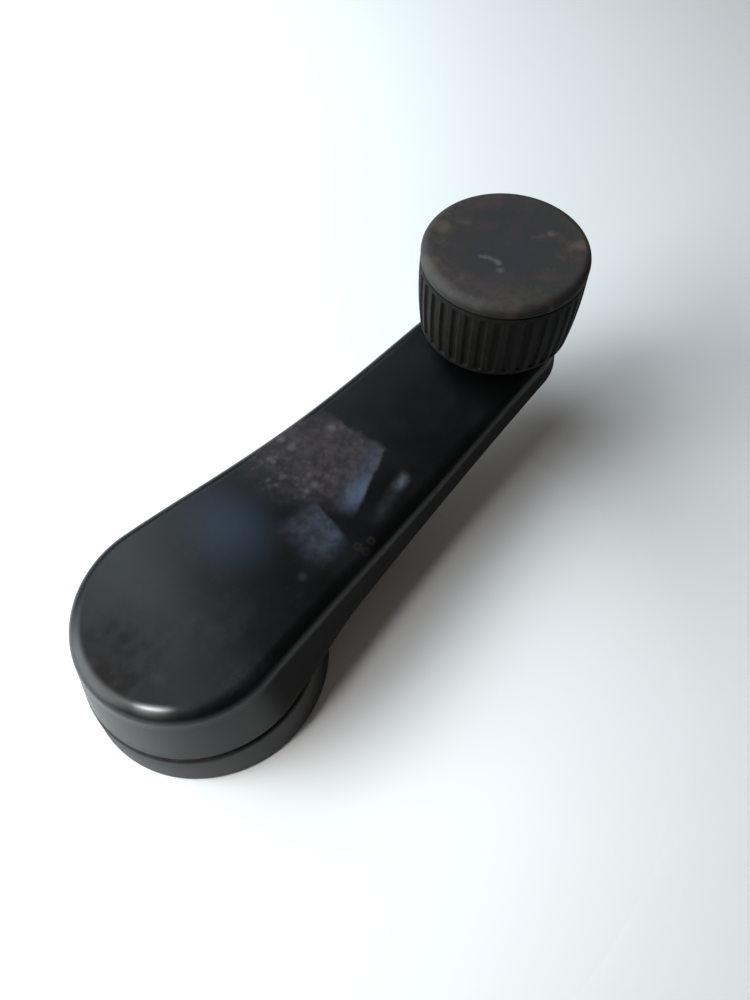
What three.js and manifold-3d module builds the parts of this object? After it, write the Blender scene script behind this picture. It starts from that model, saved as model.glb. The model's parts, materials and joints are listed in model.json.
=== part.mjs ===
// Car window crank: a moulded arm turns on the splined shaft of the window regulator, and a
// ribbed knob spins on a steel spindle at its free end. Millimetres, +Z away from the door.
// The origin is on the turning axis, in the plane of the door trim, and the knob is towards +X.
import * as THREE from "three";
import { mergeVertices } from "three/addons/utils/BufferGeometryUtils.js";
import Module from "manifold-3d";

const wasm = await Module();
wasm.setup();

// ---- driving dimensions ----
const THROW = 85; // turning axis to knob axis

// arm, a shell open underneath
const BOSS_RADIUS = 19.7; // outline round the turning axis, at the foot of the top edge's rounding
const TIP_RADIUS = 13.8; // outline round the knob axis
const SIDE_RADIUS = 1400; // of the hollow curve of each long side
const BOSS_TOP = 25.1; // height of the top face over the turning axis
const TIP_TOP = 25; // height of the top face under the knob
const SAG = 2.5; // how far the top face dips between them
const EDGE_ROUNDING = 2.9;
const BOSS_FLARE = 2.4; // how far the skirt's lower edge stands out past the outline
const TIP_FLARE = 0.55;
const FLARE_FADE = 24; // distance from the turning axis where the flare has faded
const TIP_SKIRT_DEPTH = 7.3; // height of the side wall at the tip
const ARM_WALL = 2.4;
const ARM_ROOF = 2.8; // thickness under the top face
const RIB_THICKNESS = 1.6;
const LONG_RIB_OFFSET = 4.8; // of the two lengthwise ribs from the centre line
const CROSS_RIB_PITCH = 11.5;

// hub of the arm, its metal insert and the clip that locks it on the shaft
const HUB_RADIUS = 11.2;
const HUB_FOOT = 1.4; // height of the hub's lower end
const INSERT_RADIUS = 8.2;
const INSERT_FLAT = 7.2; // distance of the insert's two flats from the axis
const INSERT_COVER = 3.3; // plastic between the insert and the underside of the roof
const INSERT_END = 2.3; // thickness of the insert's closed end
const SPLINE_COUNT = 24;
const SPLINE_ROOT_RADIUS = 5.6; // to the bottom of the grooves between the teeth
const SPLINE_CREST_RADIUS = 5.1;
const SOCKET_CHAMFER = 0.7;
const CLIP_WIRE = 1.5;
const CLIP_LEG_OFFSET = 4.9; // of each leg's centre line from the turning axis
const CLIP_LIFT = 2; // of the wire's centre line above the base ring
const CLIP_BOW_DEPTH = 3.2; // how far the bow reaches past the legs' ends
const CLIP_TRAVEL = 3; // how far the clip slides to free the shaft
const CLIP_FLARE = 1.6; // how far the legs' tips turn outwards

// base ring between the arm and the door trim, with its soft pad
const RING_FOOT_RADIUS = 23.5;
const RING_TOP_RADIUS = 22.4;
const RING_HEIGHT = 9.4;
const RING_EDGE_ROUNDING = 0.9;
const RING_WALL = 2.2;
const RING_ROOF = 2;
const RING_COLLAR_WALL = 1.8; // of the collar that guides the hub
const RING_WEB_COUNT = 6;
const RING_WEB_THICKNESS = 1.4;
const PAD_THICKNESS = 1.6;
const PAD_PROUD = 0.4; // how far the pad stands out below the ring

// spindle and what is stacked on it
const SPINDLE_RADIUS = 3; // through the arm
const JOURNAL_RADIUS = 3.6; // inside the bush
const NECK_RADIUS = 2.6; // where the retainer bites
const FLANGE_RADIUS = 6.4;
const FLANGE_THICKNESS = 1.2;
const RIVET_RADIUS = 4.8;
const RIVET_HEIGHT = 1.4;
const BACKING_RADIUS = 6.4; // washer between the arm and the riveted head
const BACKING_THICKNESS = 1;
const TIP_BOSS_RADIUS = 7.4;
const THRUST_RADIUS = 7.8; // washer between the spindle's flange and the knob
const THRUST_THICKNESS = 1;
const BUSH_WALL = 1.2;
const BUSH_LENGTH = 9.6;
const SPRING_RADIUS = 6.2; // wavy washer that keeps the knob from rattling
const SPRING_THICKNESS = 0.5;
const SPRING_WAVE = 0.6;
const SPRING_WAVE_COUNT = 3;
const RETAINER_RADIUS = 6.6;
const RETAINER_THICKNESS = 0.7;
const RETAINER_SLOT_COUNT = 6;
const RETAINER_SLOT_WIDTH = 0.8;
const SPINDLE_END = 1.2; // length of spindle above the retainer

// knob
const KNOB_FOOT_RADIUS = 15.3; // over the ribs, at the bottom
const KNOB_TOP_RADIUS = 15.95;
const KNOB_BULGE = 0.36; // how far the side swells past a straight line
const KNOB_HEIGHT = 19;
const KNOB_WALL = 1.9;
const KNOB_FLOOR = 2;
const KNOB_FOOT_ROUNDING = 0.8;
const GRIP_RIB_COUNT = 36;
const GRIP_RIB_SHARE = 0.56; // of the pitch that a rib takes up
const GRIP_RIB_DEPTH = 0.5;
const PLAIN_LIP = 1.3; // height of the plain band below the ribs
const PLAIN_BAND = 1; // height of the plain band above them
const KNOB_HUB_WALL = 1.8;
const KNOB_WEB_COUNT = 6;
const KNOB_WEB_THICKNESS = 1.3;
const CAP_RIM = 1.3; // height of the cap's rim below its rounding
const CAP_EDGE_ROUNDING = 1.6;
const CAP_PLATE = 2;
const CAP_DISH = 0.35; // how far the middle of the cap is hollowed
const CAP_SKIRT_DEPTH = 3;
const CAP_SKIRT_WALL = 1.3;

// clearances
const FIT = 0.3; // between pieces that touch or are pressed together
const RUNNING_CLEARANCE = 0.1; // between the bush and the journal
const TURN_CLEARANCE = 0.5; // between the hub and the base ring
const SKIRT_CLEARANCE = 0.7; // between the arm's skirt and the base ring

// fineness of round work
const ROUND_SEGMENTS = 60;
const SMALL_SEGMENTS = 24;
const ARC_STEPS = 4;
const SIDE_STEPS = 3; // levels of the knob's swelling side

// ---- heights that follow from the dimensions ----
const skirtFootAtBoss = RING_HEIGHT + SKIRT_CLEARANCE;
const skirtFootAtTip = TIP_TOP - TIP_SKIRT_DEPTH;
const clipHeight = RING_HEIGHT + CLIP_LIFT;
const clipSlotLow = clipHeight - CLIP_WIRE / 2 - FIT;
const clipSlotHigh = clipHeight + CLIP_WIRE / 2 + FIT;
const insertTop = BOSS_TOP - ARM_ROOF - INSERT_COVER;
const rivetLow = skirtFootAtTip + FIT;
const backingLow = rivetLow + RIVET_HEIGHT + FIT;
const tipBossFoot = backingLow + BACKING_THICKNESS + FIT;
const flangeLow = TIP_TOP + FIT;
const thrustLow = flangeLow + FLANGE_THICKNESS + FIT;
const knobFoot = thrustLow + THRUST_THICKNESS + FIT;
const bushTop = knobFoot + BUSH_LENGTH;
const springLow = bushTop + FIT;
const retainerLow = springLow + SPRING_THICKNESS + SPRING_WAVE + FIT;
const spindleTop = retainerLow + RETAINER_THICKNESS + SPINDLE_END;
const knobTop = knobFoot + KNOB_HEIGHT;
const capFoot = knobTop - CAP_EDGE_ROUNDING - CAP_RIM;
const barrelTop = capFoot - FIT;
const ringCollarRadius = HUB_RADIUS + TURN_CLEARANCE;
const knobHubBore = JOURNAL_RADIUS + RUNNING_CLEARANCE + BUSH_WALL + FIT;

// ---- turning geometry into solids ----
function solidFrom(geometry) {
  geometry.deleteAttribute("normal");
  geometry.deleteAttribute("uv");
  const merged = mergeVertices(geometry, 1e-4);
  const corners = merged.getAttribute("position");
  const kept = [];
  let volume = 0;
  for (let i = 0; i < merged.index.count; i += 3) {
    const [a, b, c] = [0, 1, 2].map((k) => merged.index.getX(i + k));
    if (a === b || b === c || c === a) continue;
    kept.push(a, b, c);
    const [p, q, r] = [a, b, c].map((k) => new THREE.Vector3().fromBufferAttribute(corners, k));
    volume += p.dot(q.cross(r));
  }
  if (volume < 0) kept.reverse();
  return new wasm.Manifold(
    new wasm.Mesh({
      numProp: 3,
      vertProperties: corners.array,
      triVerts: new Uint32Array(kept),
    }),
  );
}

// A body of revolution about Z from [radius, height] pairs that start and end on the axis.
function turned(profile, segments = ROUND_SEGMENTS) {
  const points = profile.map(([radius, height]) => new THREE.Vector2(radius, height));
  return solidFrom(new THREE.LatheGeometry(points, segments).rotateX(Math.PI / 2));
}

function disc(radius, low, high, segments = ROUND_SEGMENTS) {
  return turned([[0, low], [radius, low], [radius, high], [0, high]], segments);
}

function washer(outer, inner, low, high, segments = ROUND_SEGMENTS) {
  return disc(outer, low, high, segments).subtract(disc(inner, low - 1, high + 1, segments));
}

function block(sizeX, sizeY, low, high, x = 0, y = 0, turn = 0) {
  const box = new THREE.BoxGeometry(sizeX, sizeY, high - low);
  return solidFrom(box.translate(x, y, (low + high) / 2).rotateZ(turn));
}

// Closed loops of points stacked upwards. Point i of a loop mirrors point count - 1 - i across
// the XZ plane, so both end faces are strips of flat bars straight across.
function stacked(loops) {
  const count = loops[0].length;
  const faces = [];
  for (let level = 0; level + 1 < loops.length; level += 1) {
    for (let i = 0; i < count; i += 1) {
      const a = level * count + i;
      const b = level * count + ((i + 1) % count);
      faces.push(a, b, b + count, a, b + count, a + count);
    }
  }
  const last = (loops.length - 1) * count;
  for (let i = 0; i + 1 < count / 2; i += 1) {
    const [a, b, c, d] = [i, i + 1, count - 2 - i, count - 1 - i];
    faces.push(a, c, b, a, d, c);
    faces.push(last + a, last + b, last + c, last + a, last + c, last + d);
  }
  const geometry = new THREE.BufferGeometry();
  geometry.setAttribute(
    "position",
    new THREE.Float32BufferAttribute(loops.flat(2), 3),
  );
  geometry.setIndex(faces);
  return solidFrom(geometry);
}

const easing = (share) => share * share * (3 - 2 * share);
const between = (from, to, share) => from + (to - from) * share;
const alongArm = (x) => THREE.MathUtils.clamp(x / THROW, 0, 1);

// The arc of a rounded corner as [radius, height] pairs, from angle to angle in degrees.
function roundedCorner(radius, height, rounding, from, to) {
  return Array.from({ length: ARC_STEPS + 1 }, (_, step) => {
    const angle = THREE.MathUtils.degToRad(between(from, to, step / ARC_STEPS));
    return [radius + rounding * Math.cos(angle), height + rounding * Math.sin(angle)];
  });
}

// A prism with evenly spaced teeth, standing on end.
function toothed(innerRadius, outerRadius, count, toothShare, low, high) {
  const outline = [];
  const pitch = (2 * Math.PI) / count;
  for (let tooth = 0; tooth < count; tooth += 1) {
    const middle = tooth * pitch;
    const half = (toothShare * pitch) / 2;
    const corners = [
      [innerRadius, middle - half],
      [outerRadius, middle - half],
      [outerRadius, middle + half],
      [innerRadius, middle + half],
    ];
    for (const [radius, angle] of corners) {
      outline.push(new THREE.Vector2(radius * Math.cos(angle), radius * Math.sin(angle)));
    }
  }
  const shape = new THREE.Shape(outline);
  const prism = new THREE.ExtrudeGeometry(shape, { depth: high - low, bevelEnabled: false });
  return solidFrom(prism.translate(0, 0, low));
}

// Flat webs that run outwards from the axis, evenly spaced.
function radialWebs(count, thickness, reach, low, high) {
  let webs = null;
  for (let i = 0; i < count; i += 1) {
    const web = block(reach, thickness, low, high, reach / 2, 0, (2 * Math.PI * i) / count);
    webs = webs ? webs.add(web) : web;
  }
  return webs;
}

const atKnob = (solid) => solid.translate([THROW, 0, 0]);

// ---- arm ----
// The outline is the boss's arc, a long hollow side and the tip's arc, and its mirror image.
// Each entry is a point on it and the direction that points out of the arm there.
function armOutline() {
  const reachBoss = SIDE_RADIUS + BOSS_RADIUS;
  const reachTip = SIDE_RADIUS + TIP_RADIUS;
  const centreX = (reachBoss ** 2 - reachTip ** 2 + THROW ** 2) / (2 * THROW);
  const centreY = Math.sqrt(reachBoss ** 2 - centreX ** 2);
  const bossEnd = Math.atan2(centreY, centreX);
  const tipEnd = Math.atan2(centreY, centreX - THROW);
  const half = [];
  const arc = (x, y, radius, from, to, steps, outward) => {
    for (let i = 0; i <= steps; i += 1) {
      const angle = between(from, to, i / steps);
      const [c, s] = [Math.cos(angle), Math.sin(angle)];
      half.push({ x: x + radius * c, y: y + radius * s, outX: outward * c, outY: outward * s });
    }
  };
  const startAngle = Math.PI * 0.985;
  arc(0, 0, BOSS_RADIUS, startAngle, bossEnd, 18, 1);
  half.pop();
  arc(centreX, centreY, SIDE_RADIUS, bossEnd + Math.PI, tipEnd + Math.PI, 14, -1);
  half.pop();
  arc(THROW, 0, TIP_RADIUS, tipEnd, Math.PI - startAngle, 14, 1);
  return half;
}

const topHeight = (x) => {
  const share = alongArm(x);
  return between(BOSS_TOP, TIP_TOP, easing(share)) - SAG * 16 * (share * (1 - share)) ** 2;
};
const skirtFoot = (x) => {
  const start = BOSS_RADIUS / 2;
  const share = THREE.MathUtils.clamp((x - start) / (THROW - start), 0, 1);
  return between(skirtFootAtBoss, skirtFootAtTip, share);
};
const skirtFlare = (x) =>
  between(BOSS_FLARE, TIP_FLARE, easing(THREE.MathUtils.clamp(x / FLARE_FADE, 0, 1)));

// The outline moved outwards by offset(x), at height(x).
function armLoop(offset, height) {
  const half = armOutline().map((point) => {
    const out = offset(point.x);
    return [point.x + point.outX * out, point.y + point.outY * out, height(point.x)];
  });
  const mirrored = half.map(([x, y, z]) => [x, -y, z]).reverse();
  return half.concat(mirrored);
}

function armOutside() {
  const loops = [armLoop(skirtFlare, skirtFoot)];
  for (let step = 0; step <= ARC_STEPS; step += 1) {
    const angle = ((Math.PI / 2) * step) / ARC_STEPS;
    const inwards = EDGE_ROUNDING * (1 - Math.cos(angle));
    const below = EDGE_ROUNDING * (1 - Math.sin(angle));
    loops.push(armLoop(() => -inwards, (x) => topHeight(x) - below));
  }
  return stacked(loops);
}

function armInside() {
  return stacked([
    armLoop((x) => skirtFlare(x) - ARM_WALL, (x) => skirtFoot(x) - 1),
    armLoop(() => -ARM_WALL, (x) => topHeight(x) - Math.max(EDGE_ROUNDING, ARM_ROOF + 0.5)),
    armLoop(() => -ARM_WALL - EDGE_ROUNDING / 3, (x) => topHeight(x) - ARM_ROOF),
  ]);
}

// Ribs that stiffen the roof. They stop above the retaining clip.
function armRibs() {
  const high = BOSS_TOP + TIP_TOP;
  const longRib = block(THROW, RIB_THICKNESS, 0, high, THROW / 2, LONG_RIB_OFFSET);
  let ribs = longRib.add(longRib.mirror([0, 1, 0]));
  const firstCross = HUB_RADIUS + CROSS_RIB_PITCH * 0.7;
  const lastCross = THROW - TIP_BOSS_RADIUS - CROSS_RIB_PITCH * 0.4;
  const crossCount = Math.max(1, Math.round((lastCross - firstCross) / CROSS_RIB_PITCH));
  for (let i = 0; i <= crossCount; i += 1) {
    const x = between(firstCross, lastCross, i / crossCount);
    ribs = ribs.add(block(RIB_THICKNESS, 3 * BOSS_RADIUS, 0, high, x));
  }
  for (const turn of [75, 127, 180, 233, 285]) {
    const spoke = block(BOSS_RADIUS, RIB_THICKNESS, 0, high, BOSS_RADIUS / 2);
    ribs = ribs.add(spoke.rotate([0, 0, turn]));
  }
  const setback = clipSlotHigh + FIT - skirtFootAtBoss;
  const reach = stacked([
    armLoop(() => -ARM_WALL / 2, (x) => skirtFoot(x) + setback),
    armLoop(() => -ARM_WALL / 2, (x) => topHeight(x) - ARM_ROOF / 2),
  ]);
  const rivetRoom = atKnob(disc(BACKING_RADIUS + 2 * FIT, 0, tipBossFoot));
  return ribs.intersect(reach).subtract(rivetRoom);
}

// The two slots across the hub that the clip's legs slide in.
function clipSlots() {
  const length = 2 * HUB_RADIUS + CLIP_WIRE;
  const width = CLIP_WIRE + 2 * FIT;
  const slot = block(length, width, clipSlotLow, clipSlotHigh, 0, CLIP_LEG_OFFSET);
  return slot.add(slot.mirror([0, 1, 0]));
}

// The insert's outer shape: round, with two flats that keep it from turning in the hub.
function insertBlank(grow, low) {
  const high = insertTop + grow;
  const flats = block(2 * (INSERT_FLAT + grow), 4 * INSERT_RADIUS, low, high);
  return disc(INSERT_RADIUS + grow, low, high).intersect(flats);
}

function crankArm() {
  const spindleHole = disc(SPINDLE_RADIUS + FIT, 0, TIP_TOP + 1, SMALL_SEGMENTS);
  return armOutside()
    .subtract(armInside())
    .add(armRibs())
    .add(disc(HUB_RADIUS, HUB_FOOT, BOSS_TOP - ARM_ROOF / 2))
    .add(atKnob(disc(TIP_BOSS_RADIUS, tipBossFoot, TIP_TOP - ARM_ROOF / 2)))
    .subtract(insertBlank(FIT, HUB_FOOT - 1))
    .subtract(atKnob(spindleHole))
    .subtract(clipSlots());
}

function splinedInsert() {
  const socketTop = insertTop - INSERT_END;
  const low = HUB_FOOT - 1;
  const grooves = toothed(
    SPLINE_CREST_RADIUS, SPLINE_ROOT_RADIUS, SPLINE_COUNT, 0.5, low, socketTop,
  );
  const mouth = turned([
    [0, low],
    [SPLINE_ROOT_RADIUS + SOCKET_CHAMFER, low],
    [SPLINE_ROOT_RADIUS + SOCKET_CHAMFER, HUB_FOOT],
    [SPLINE_CREST_RADIUS, HUB_FOOT + 2 * SOCKET_CHAMFER],
    [0, HUB_FOOT + 2 * SOCKET_CHAMFER],
  ]);
  return insertBlank(0, HUB_FOOT).subtract(grooves).subtract(mouth).subtract(clipSlots());
}

// Spring wire bent into a horseshoe: the legs pass through the hub and the bow is behind it.
function retainingClip() {
  const hubEdge = Math.sqrt(HUB_RADIUS ** 2 - CLIP_LEG_OFFSET ** 2);
  const bowStart = -Math.sqrt((HUB_RADIUS + CLIP_WIRE / 2 + FIT) ** 2 - CLIP_LEG_OFFSET ** 2);
  const flareStart = hubEdge + CLIP_TRAVEL + FIT;
  const tipX = flareStart + CLIP_FLARE;
  const tipY = CLIP_LEG_OFFSET + CLIP_FLARE;
  const bend = new THREE.Path();
  bend.moveTo(tipX, tipY);
  bend.lineTo(flareStart, CLIP_LEG_OFFSET);
  bend.lineTo(bowStart, CLIP_LEG_OFFSET);
  bend.absellipse(
    bowStart, 0, CLIP_BOW_DEPTH, CLIP_LEG_OFFSET, Math.PI / 2, (3 * Math.PI) / 2, false, 0,
  );
  bend.lineTo(flareStart, -CLIP_LEG_OFFSET);
  bend.lineTo(tipX, -tipY);
  const steps = 44;
  const route = bend.getSpacedPoints(steps);
  const path = new THREE.CatmullRomCurve3(
    route.map((point) => new THREE.Vector3(point.x, point.y, clipHeight)),
  );
  const section = new THREE.Shape().absarc(0, 0, CLIP_WIRE / 2, 0, 2 * Math.PI, false);
  const options = { steps, extrudePath: path, curveSegments: 4, bevelEnabled: false };
  return solidFrom(new THREE.ExtrudeGeometry(section, options));
}

// ---- base ring ----
function baseRing() {
  const outside = turned([
    [0, PAD_PROUD],
    [RING_FOOT_RADIUS, PAD_PROUD],
    ...roundedCorner(
      RING_TOP_RADIUS - RING_EDGE_ROUNDING, RING_HEIGHT - RING_EDGE_ROUNDING,
      RING_EDGE_ROUNDING, 0, 90,
    ),
    [0, RING_HEIGHT],
  ]);
  const innerRadius = RING_TOP_RADIUS - RING_WALL;
  const collarOuter = ringCollarRadius + RING_COLLAR_WALL;
  const hollow = washer(innerRadius, collarOuter, PAD_PROUD - 1, RING_HEIGHT - RING_ROOF);
  const webs = radialWebs(
    RING_WEB_COUNT, RING_WEB_THICKNESS, innerRadius + RING_WALL / 2,
    PAD_THICKNESS + FIT, RING_HEIGHT - RING_ROOF / 2,
  );
  return outside.subtract(hollow).add(webs).subtract(disc(ringCollarRadius, -1, RING_HEIGHT + 1));
}

function antiRattlePad() {
  const outer = RING_TOP_RADIUS - RING_WALL - FIT;
  return washer(outer, ringCollarRadius + RING_COLLAR_WALL + FIT, 0, PAD_THICKNESS);
}

// ---- spindle and what is stacked on it ----
function knobSpindle() {
  const journalTop = bushTop + FIT / 2;
  const chamfer = 0.4;
  return turned([
    [0, rivetLow],
    [RIVET_RADIUS * 0.7, rivetLow],
    [RIVET_RADIUS, rivetLow + RIVET_HEIGHT / 2],
    [RIVET_RADIUS, rivetLow + RIVET_HEIGHT],
    [SPINDLE_RADIUS, rivetLow + RIVET_HEIGHT],
    [SPINDLE_RADIUS, flangeLow],
    [FLANGE_RADIUS, flangeLow],
    [FLANGE_RADIUS, flangeLow + FLANGE_THICKNESS],
    [JOURNAL_RADIUS, flangeLow + FLANGE_THICKNESS],
    [JOURNAL_RADIUS, journalTop],
    [NECK_RADIUS, journalTop],
    [NECK_RADIUS, spindleTop - chamfer],
    [NECK_RADIUS - chamfer, spindleTop],
    [0, spindleTop],
  ], SMALL_SEGMENTS);
}

const backingWasher = () =>
  washer(
    BACKING_RADIUS, SPINDLE_RADIUS + FIT,
    backingLow, backingLow + BACKING_THICKNESS, SMALL_SEGMENTS,
  );

const thrustWasher = () =>
  washer(
    THRUST_RADIUS, JOURNAL_RADIUS + FIT,
    thrustLow, thrustLow + THRUST_THICKNESS, SMALL_SEGMENTS,
  );

const knobBush = () =>
  washer(
    JOURNAL_RADIUS + RUNNING_CLEARANCE + BUSH_WALL, JOURNAL_RADIUS + RUNNING_CLEARANCE,
    knobFoot, bushTop, SMALL_SEGMENTS,
  );

// A flat ring whose height follows a sine round the axis.
function waveWasher() {
  const inner = NECK_RADIUS + FIT;
  const corners = [
    [inner, 0],
    [SPRING_RADIUS, 0],
    [SPRING_RADIUS, SPRING_THICKNESS],
    [inner, SPRING_THICKNESS],
    [inner, 0],
  ].map(([radius, height]) => new THREE.Vector2(radius, height));
  const ring = new THREE.LatheGeometry(corners, 2 * SMALL_SEGMENTS).rotateX(Math.PI / 2);
  const points = ring.getAttribute("position");
  for (let i = 0; i < points.count; i += 1) {
    const angle = Math.atan2(points.getY(i), points.getX(i));
    const rise = (SPRING_WAVE / 2) * (1 + Math.cos(SPRING_WAVE_COUNT * angle));
    points.setZ(i, points.getZ(i) + springLow + rise);
  }
  return solidFrom(ring);
}

// A pressed steel ring whose slotted inner edge grips the spindle's neck.
function spindleRetainer() {
  const high = retainerLow + RETAINER_THICKNESS;
  const slotReach = between(NECK_RADIUS, RETAINER_RADIUS, 0.55);
  const slots = radialWebs(
    RETAINER_SLOT_COUNT, RETAINER_SLOT_WIDTH, slotReach, retainerLow - 1, high + 1,
  );
  return washer(RETAINER_RADIUS, NECK_RADIUS + FIT, retainerLow, high, SMALL_SEGMENTS)
    .subtract(slots);
}

// ---- knob ----
const knobRadius = (z) => {
  const share = (z - knobFoot) / (capFoot - knobFoot);
  return between(KNOB_FOOT_RADIUS, KNOB_TOP_RADIUS, share) + KNOB_BULGE * 4 * share * (1 - share);
};

// The barrel's side from one height to another, moved inwards by an inset.
function barrelSide(low, high, inset, steps = SIDE_STEPS) {
  return Array.from({ length: steps + 1 }, (_, step) => {
    const height = between(low, high, step / steps);
    return [knobRadius(height) - inset, height];
  });
}

function knobBarrel() {
  const sideFoot = knobFoot + KNOB_FOOT_ROUNDING;
  const ribLow = knobFoot + PLAIN_LIP;
  const ribHigh = barrelTop - PLAIN_BAND;
  const footRadius = knobRadius(sideFoot) - KNOB_FOOT_ROUNDING;
  const core = turned([
    [0, knobFoot],
    ...roundedCorner(footRadius, sideFoot, KNOB_FOOT_ROUNDING, -90, 0),
    ...barrelSide(ribLow, ribLow, 0, 1),
    ...barrelSide(ribLow, ribHigh, GRIP_RIB_DEPTH),
    ...barrelSide(ribHigh, barrelTop, GRIP_RIB_DEPTH / 2, 1),
    [0, barrelTop],
  ]);
  const over = turned([[0, ribLow - 0.1], ...barrelSide(ribLow - 0.1, ribHigh, 0), [0, ribHigh]]);
  const star = toothed(
    KNOB_FOOT_RADIUS / 2, 2 * KNOB_TOP_RADIUS, GRIP_RIB_COUNT, GRIP_RIB_SHARE, ribLow - 0.1, ribHigh,
  );
  const innerRadius = KNOB_FOOT_RADIUS - GRIP_RIB_DEPTH - KNOB_WALL;
  const hollow = disc(innerRadius, knobFoot + KNOB_FLOOR, barrelTop + 1);
  const inside = disc(knobHubBore + KNOB_HUB_WALL, knobFoot, bushTop).add(
    radialWebs(KNOB_WEB_COUNT, KNOB_WEB_THICKNESS, innerRadius + KNOB_WALL / 2, knobFoot + 1, bushTop),
  );
  return core
    .add(over.intersect(star))
    .subtract(hollow)
    .add(inside)
    .subtract(disc(knobHubBore, knobFoot - 1, bushTop + 1, SMALL_SEGMENTS));
}

// The cap has a rounded rim, a slightly hollow top and a skirt that plugs into the barrel.
function knobCap() {
  const edge = KNOB_TOP_RADIUS - CAP_EDGE_ROUNDING;
  const plugRadius = KNOB_FOOT_RADIUS - GRIP_RIB_DEPTH - KNOB_WALL - FIT;
  const plateLow = knobTop - CAP_DISH - CAP_PLATE;
  const dished = (share) => [edge * share, knobTop - CAP_DISH * (1 - share * share)];
  return turned([
    [0, plateLow],
    [plugRadius - CAP_SKIRT_WALL, plateLow],
    [plugRadius - CAP_SKIRT_WALL, barrelTop - CAP_SKIRT_DEPTH],
    [plugRadius, barrelTop - CAP_SKIRT_DEPTH],
    [plugRadius, capFoot],
    [KNOB_TOP_RADIUS, capFoot],
    ...roundedCorner(edge, knobTop - CAP_EDGE_ROUNDING, CAP_EDGE_ROUNDING, 0, 90),
    dished(0.7),
    dished(0.35),
    [0, knobTop - CAP_DISH],
  ]);
}

// ---- finishes and the finished crank ----
function finish(color, roughness, metalness) {
  return () => new THREE.MeshStandardMaterial({ color, roughness, metalness });
}
const satinBlackPlastic = finish(0x1b1d1f, 0.4, 0);
const wornGreyPlastic = finish(0x343436, 0.75, 0);
const mattBlackPlastic = finish(0x232425, 0.6, 0);
const whitePlastic = finish(0xd8d4c8, 0.5, 0);
const zincAlloy = finish(0x9a9c9c, 0.45, 0.9);
const brightSteel = finish(0xb4b6b8, 0.35, 0.95);
const springSteel = finish(0x6d6f73, 0.4, 0.9);
const greyFelt = finish(0x4b4a48, 0.95, 0);

const pieces = [
  ["base_ring", baseRing(), mattBlackPlastic],
  ["anti_rattle_pad", antiRattlePad(), greyFelt],
  ["crank_arm", crankArm(), satinBlackPlastic],
  ["splined_insert", splinedInsert(), zincAlloy],
  ["retaining_clip", retainingClip(), springSteel],
  ["knob_spindle", atKnob(knobSpindle()), brightSteel],
  ["backing_washer", atKnob(backingWasher()), brightSteel],
  ["thrust_washer", atKnob(thrustWasher()), whitePlastic],
  ["knob_bush", atKnob(knobBush()), whitePlastic],
  ["wave_washer", atKnob(waveWasher()), springSteel],
  ["spindle_retainer", atKnob(spindleRetainer()), springSteel],
  ["knob_barrel", atKnob(knobBarrel()), wornGreyPlastic],
  ["knob_cap", atKnob(knobCap()), wornGreyPlastic],
];

const windowCrank = new THREE.Group();
for (const [name, solid, material] of pieces) {
  const { vertProperties, triVerts } = solid.getMesh();
  const geometry = new THREE.BufferGeometry();
  geometry.setAttribute("position", new THREE.BufferAttribute(vertProperties, 3));
  geometry.setIndex(new THREE.BufferAttribute(triVerts, 1));
  geometry.computeVertexNormals();
  const mesh = new THREE.Mesh(geometry, material());
  mesh.name = name;
  windowCrank.add(mesh);
}

export default windowCrank;
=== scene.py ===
import json
import math

import bmesh
import bpy
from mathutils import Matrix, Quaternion, Vector


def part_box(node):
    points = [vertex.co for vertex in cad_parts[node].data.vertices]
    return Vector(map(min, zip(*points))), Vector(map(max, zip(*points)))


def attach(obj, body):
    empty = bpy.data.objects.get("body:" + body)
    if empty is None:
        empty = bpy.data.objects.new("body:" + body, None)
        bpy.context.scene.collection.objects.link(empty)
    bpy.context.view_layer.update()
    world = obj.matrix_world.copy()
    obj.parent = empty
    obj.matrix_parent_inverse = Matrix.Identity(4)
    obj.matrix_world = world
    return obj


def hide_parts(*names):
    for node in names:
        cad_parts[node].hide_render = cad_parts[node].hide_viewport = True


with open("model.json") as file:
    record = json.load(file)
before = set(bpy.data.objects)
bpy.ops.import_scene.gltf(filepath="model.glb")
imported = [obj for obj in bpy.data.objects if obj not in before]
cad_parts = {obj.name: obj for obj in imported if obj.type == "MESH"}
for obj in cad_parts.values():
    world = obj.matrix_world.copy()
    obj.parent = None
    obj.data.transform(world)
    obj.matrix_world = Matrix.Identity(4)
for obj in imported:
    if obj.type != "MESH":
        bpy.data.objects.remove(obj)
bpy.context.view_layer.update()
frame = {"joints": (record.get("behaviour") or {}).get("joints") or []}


# ======================================================================================
# Studio: a pale floor in the plane of the door trim, seen from above the boss with the knob
# far away. A softbox hangs high on the arm's far side, a wide window stands on the left and a
# small honeycomb lamp picks out the boss's edge; the room itself is dim.
# ======================================================================================

mm = 0.001

EYE = Vector((-13.28, -58.56, 143.41)) * mm
EYE_HEADING, EYE_TILT, EYE_ROLL = (math.radians(angle) for angle in (43.68, -59.34, 1.25))
EYE_LENS, EYE_SENSOR = 27.04, 36.0


def studio_camera():
    look = Vector((
        math.cos(EYE_TILT) * math.cos(EYE_HEADING),
        math.cos(EYE_TILT) * math.sin(EYE_HEADING),
        math.sin(EYE_TILT),
    ))
    camera = bpy.data.objects.new("studio_camera", bpy.data.cameras.new("studio_camera"))
    camera.data.lens = EYE_LENS
    camera.data.sensor_width = EYE_SENSOR
    camera.data.clip_start = 0.005
    camera.location = EYE
    camera.rotation_mode = "QUATERNION"
    upright = look.to_track_quat("-Z", "Y")
    camera.rotation_quaternion = upright @ Quaternion((0, 0, 1), -EYE_ROLL)
    bpy.context.scene.collection.objects.link(camera)
    bpy.context.scene.camera = camera


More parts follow.
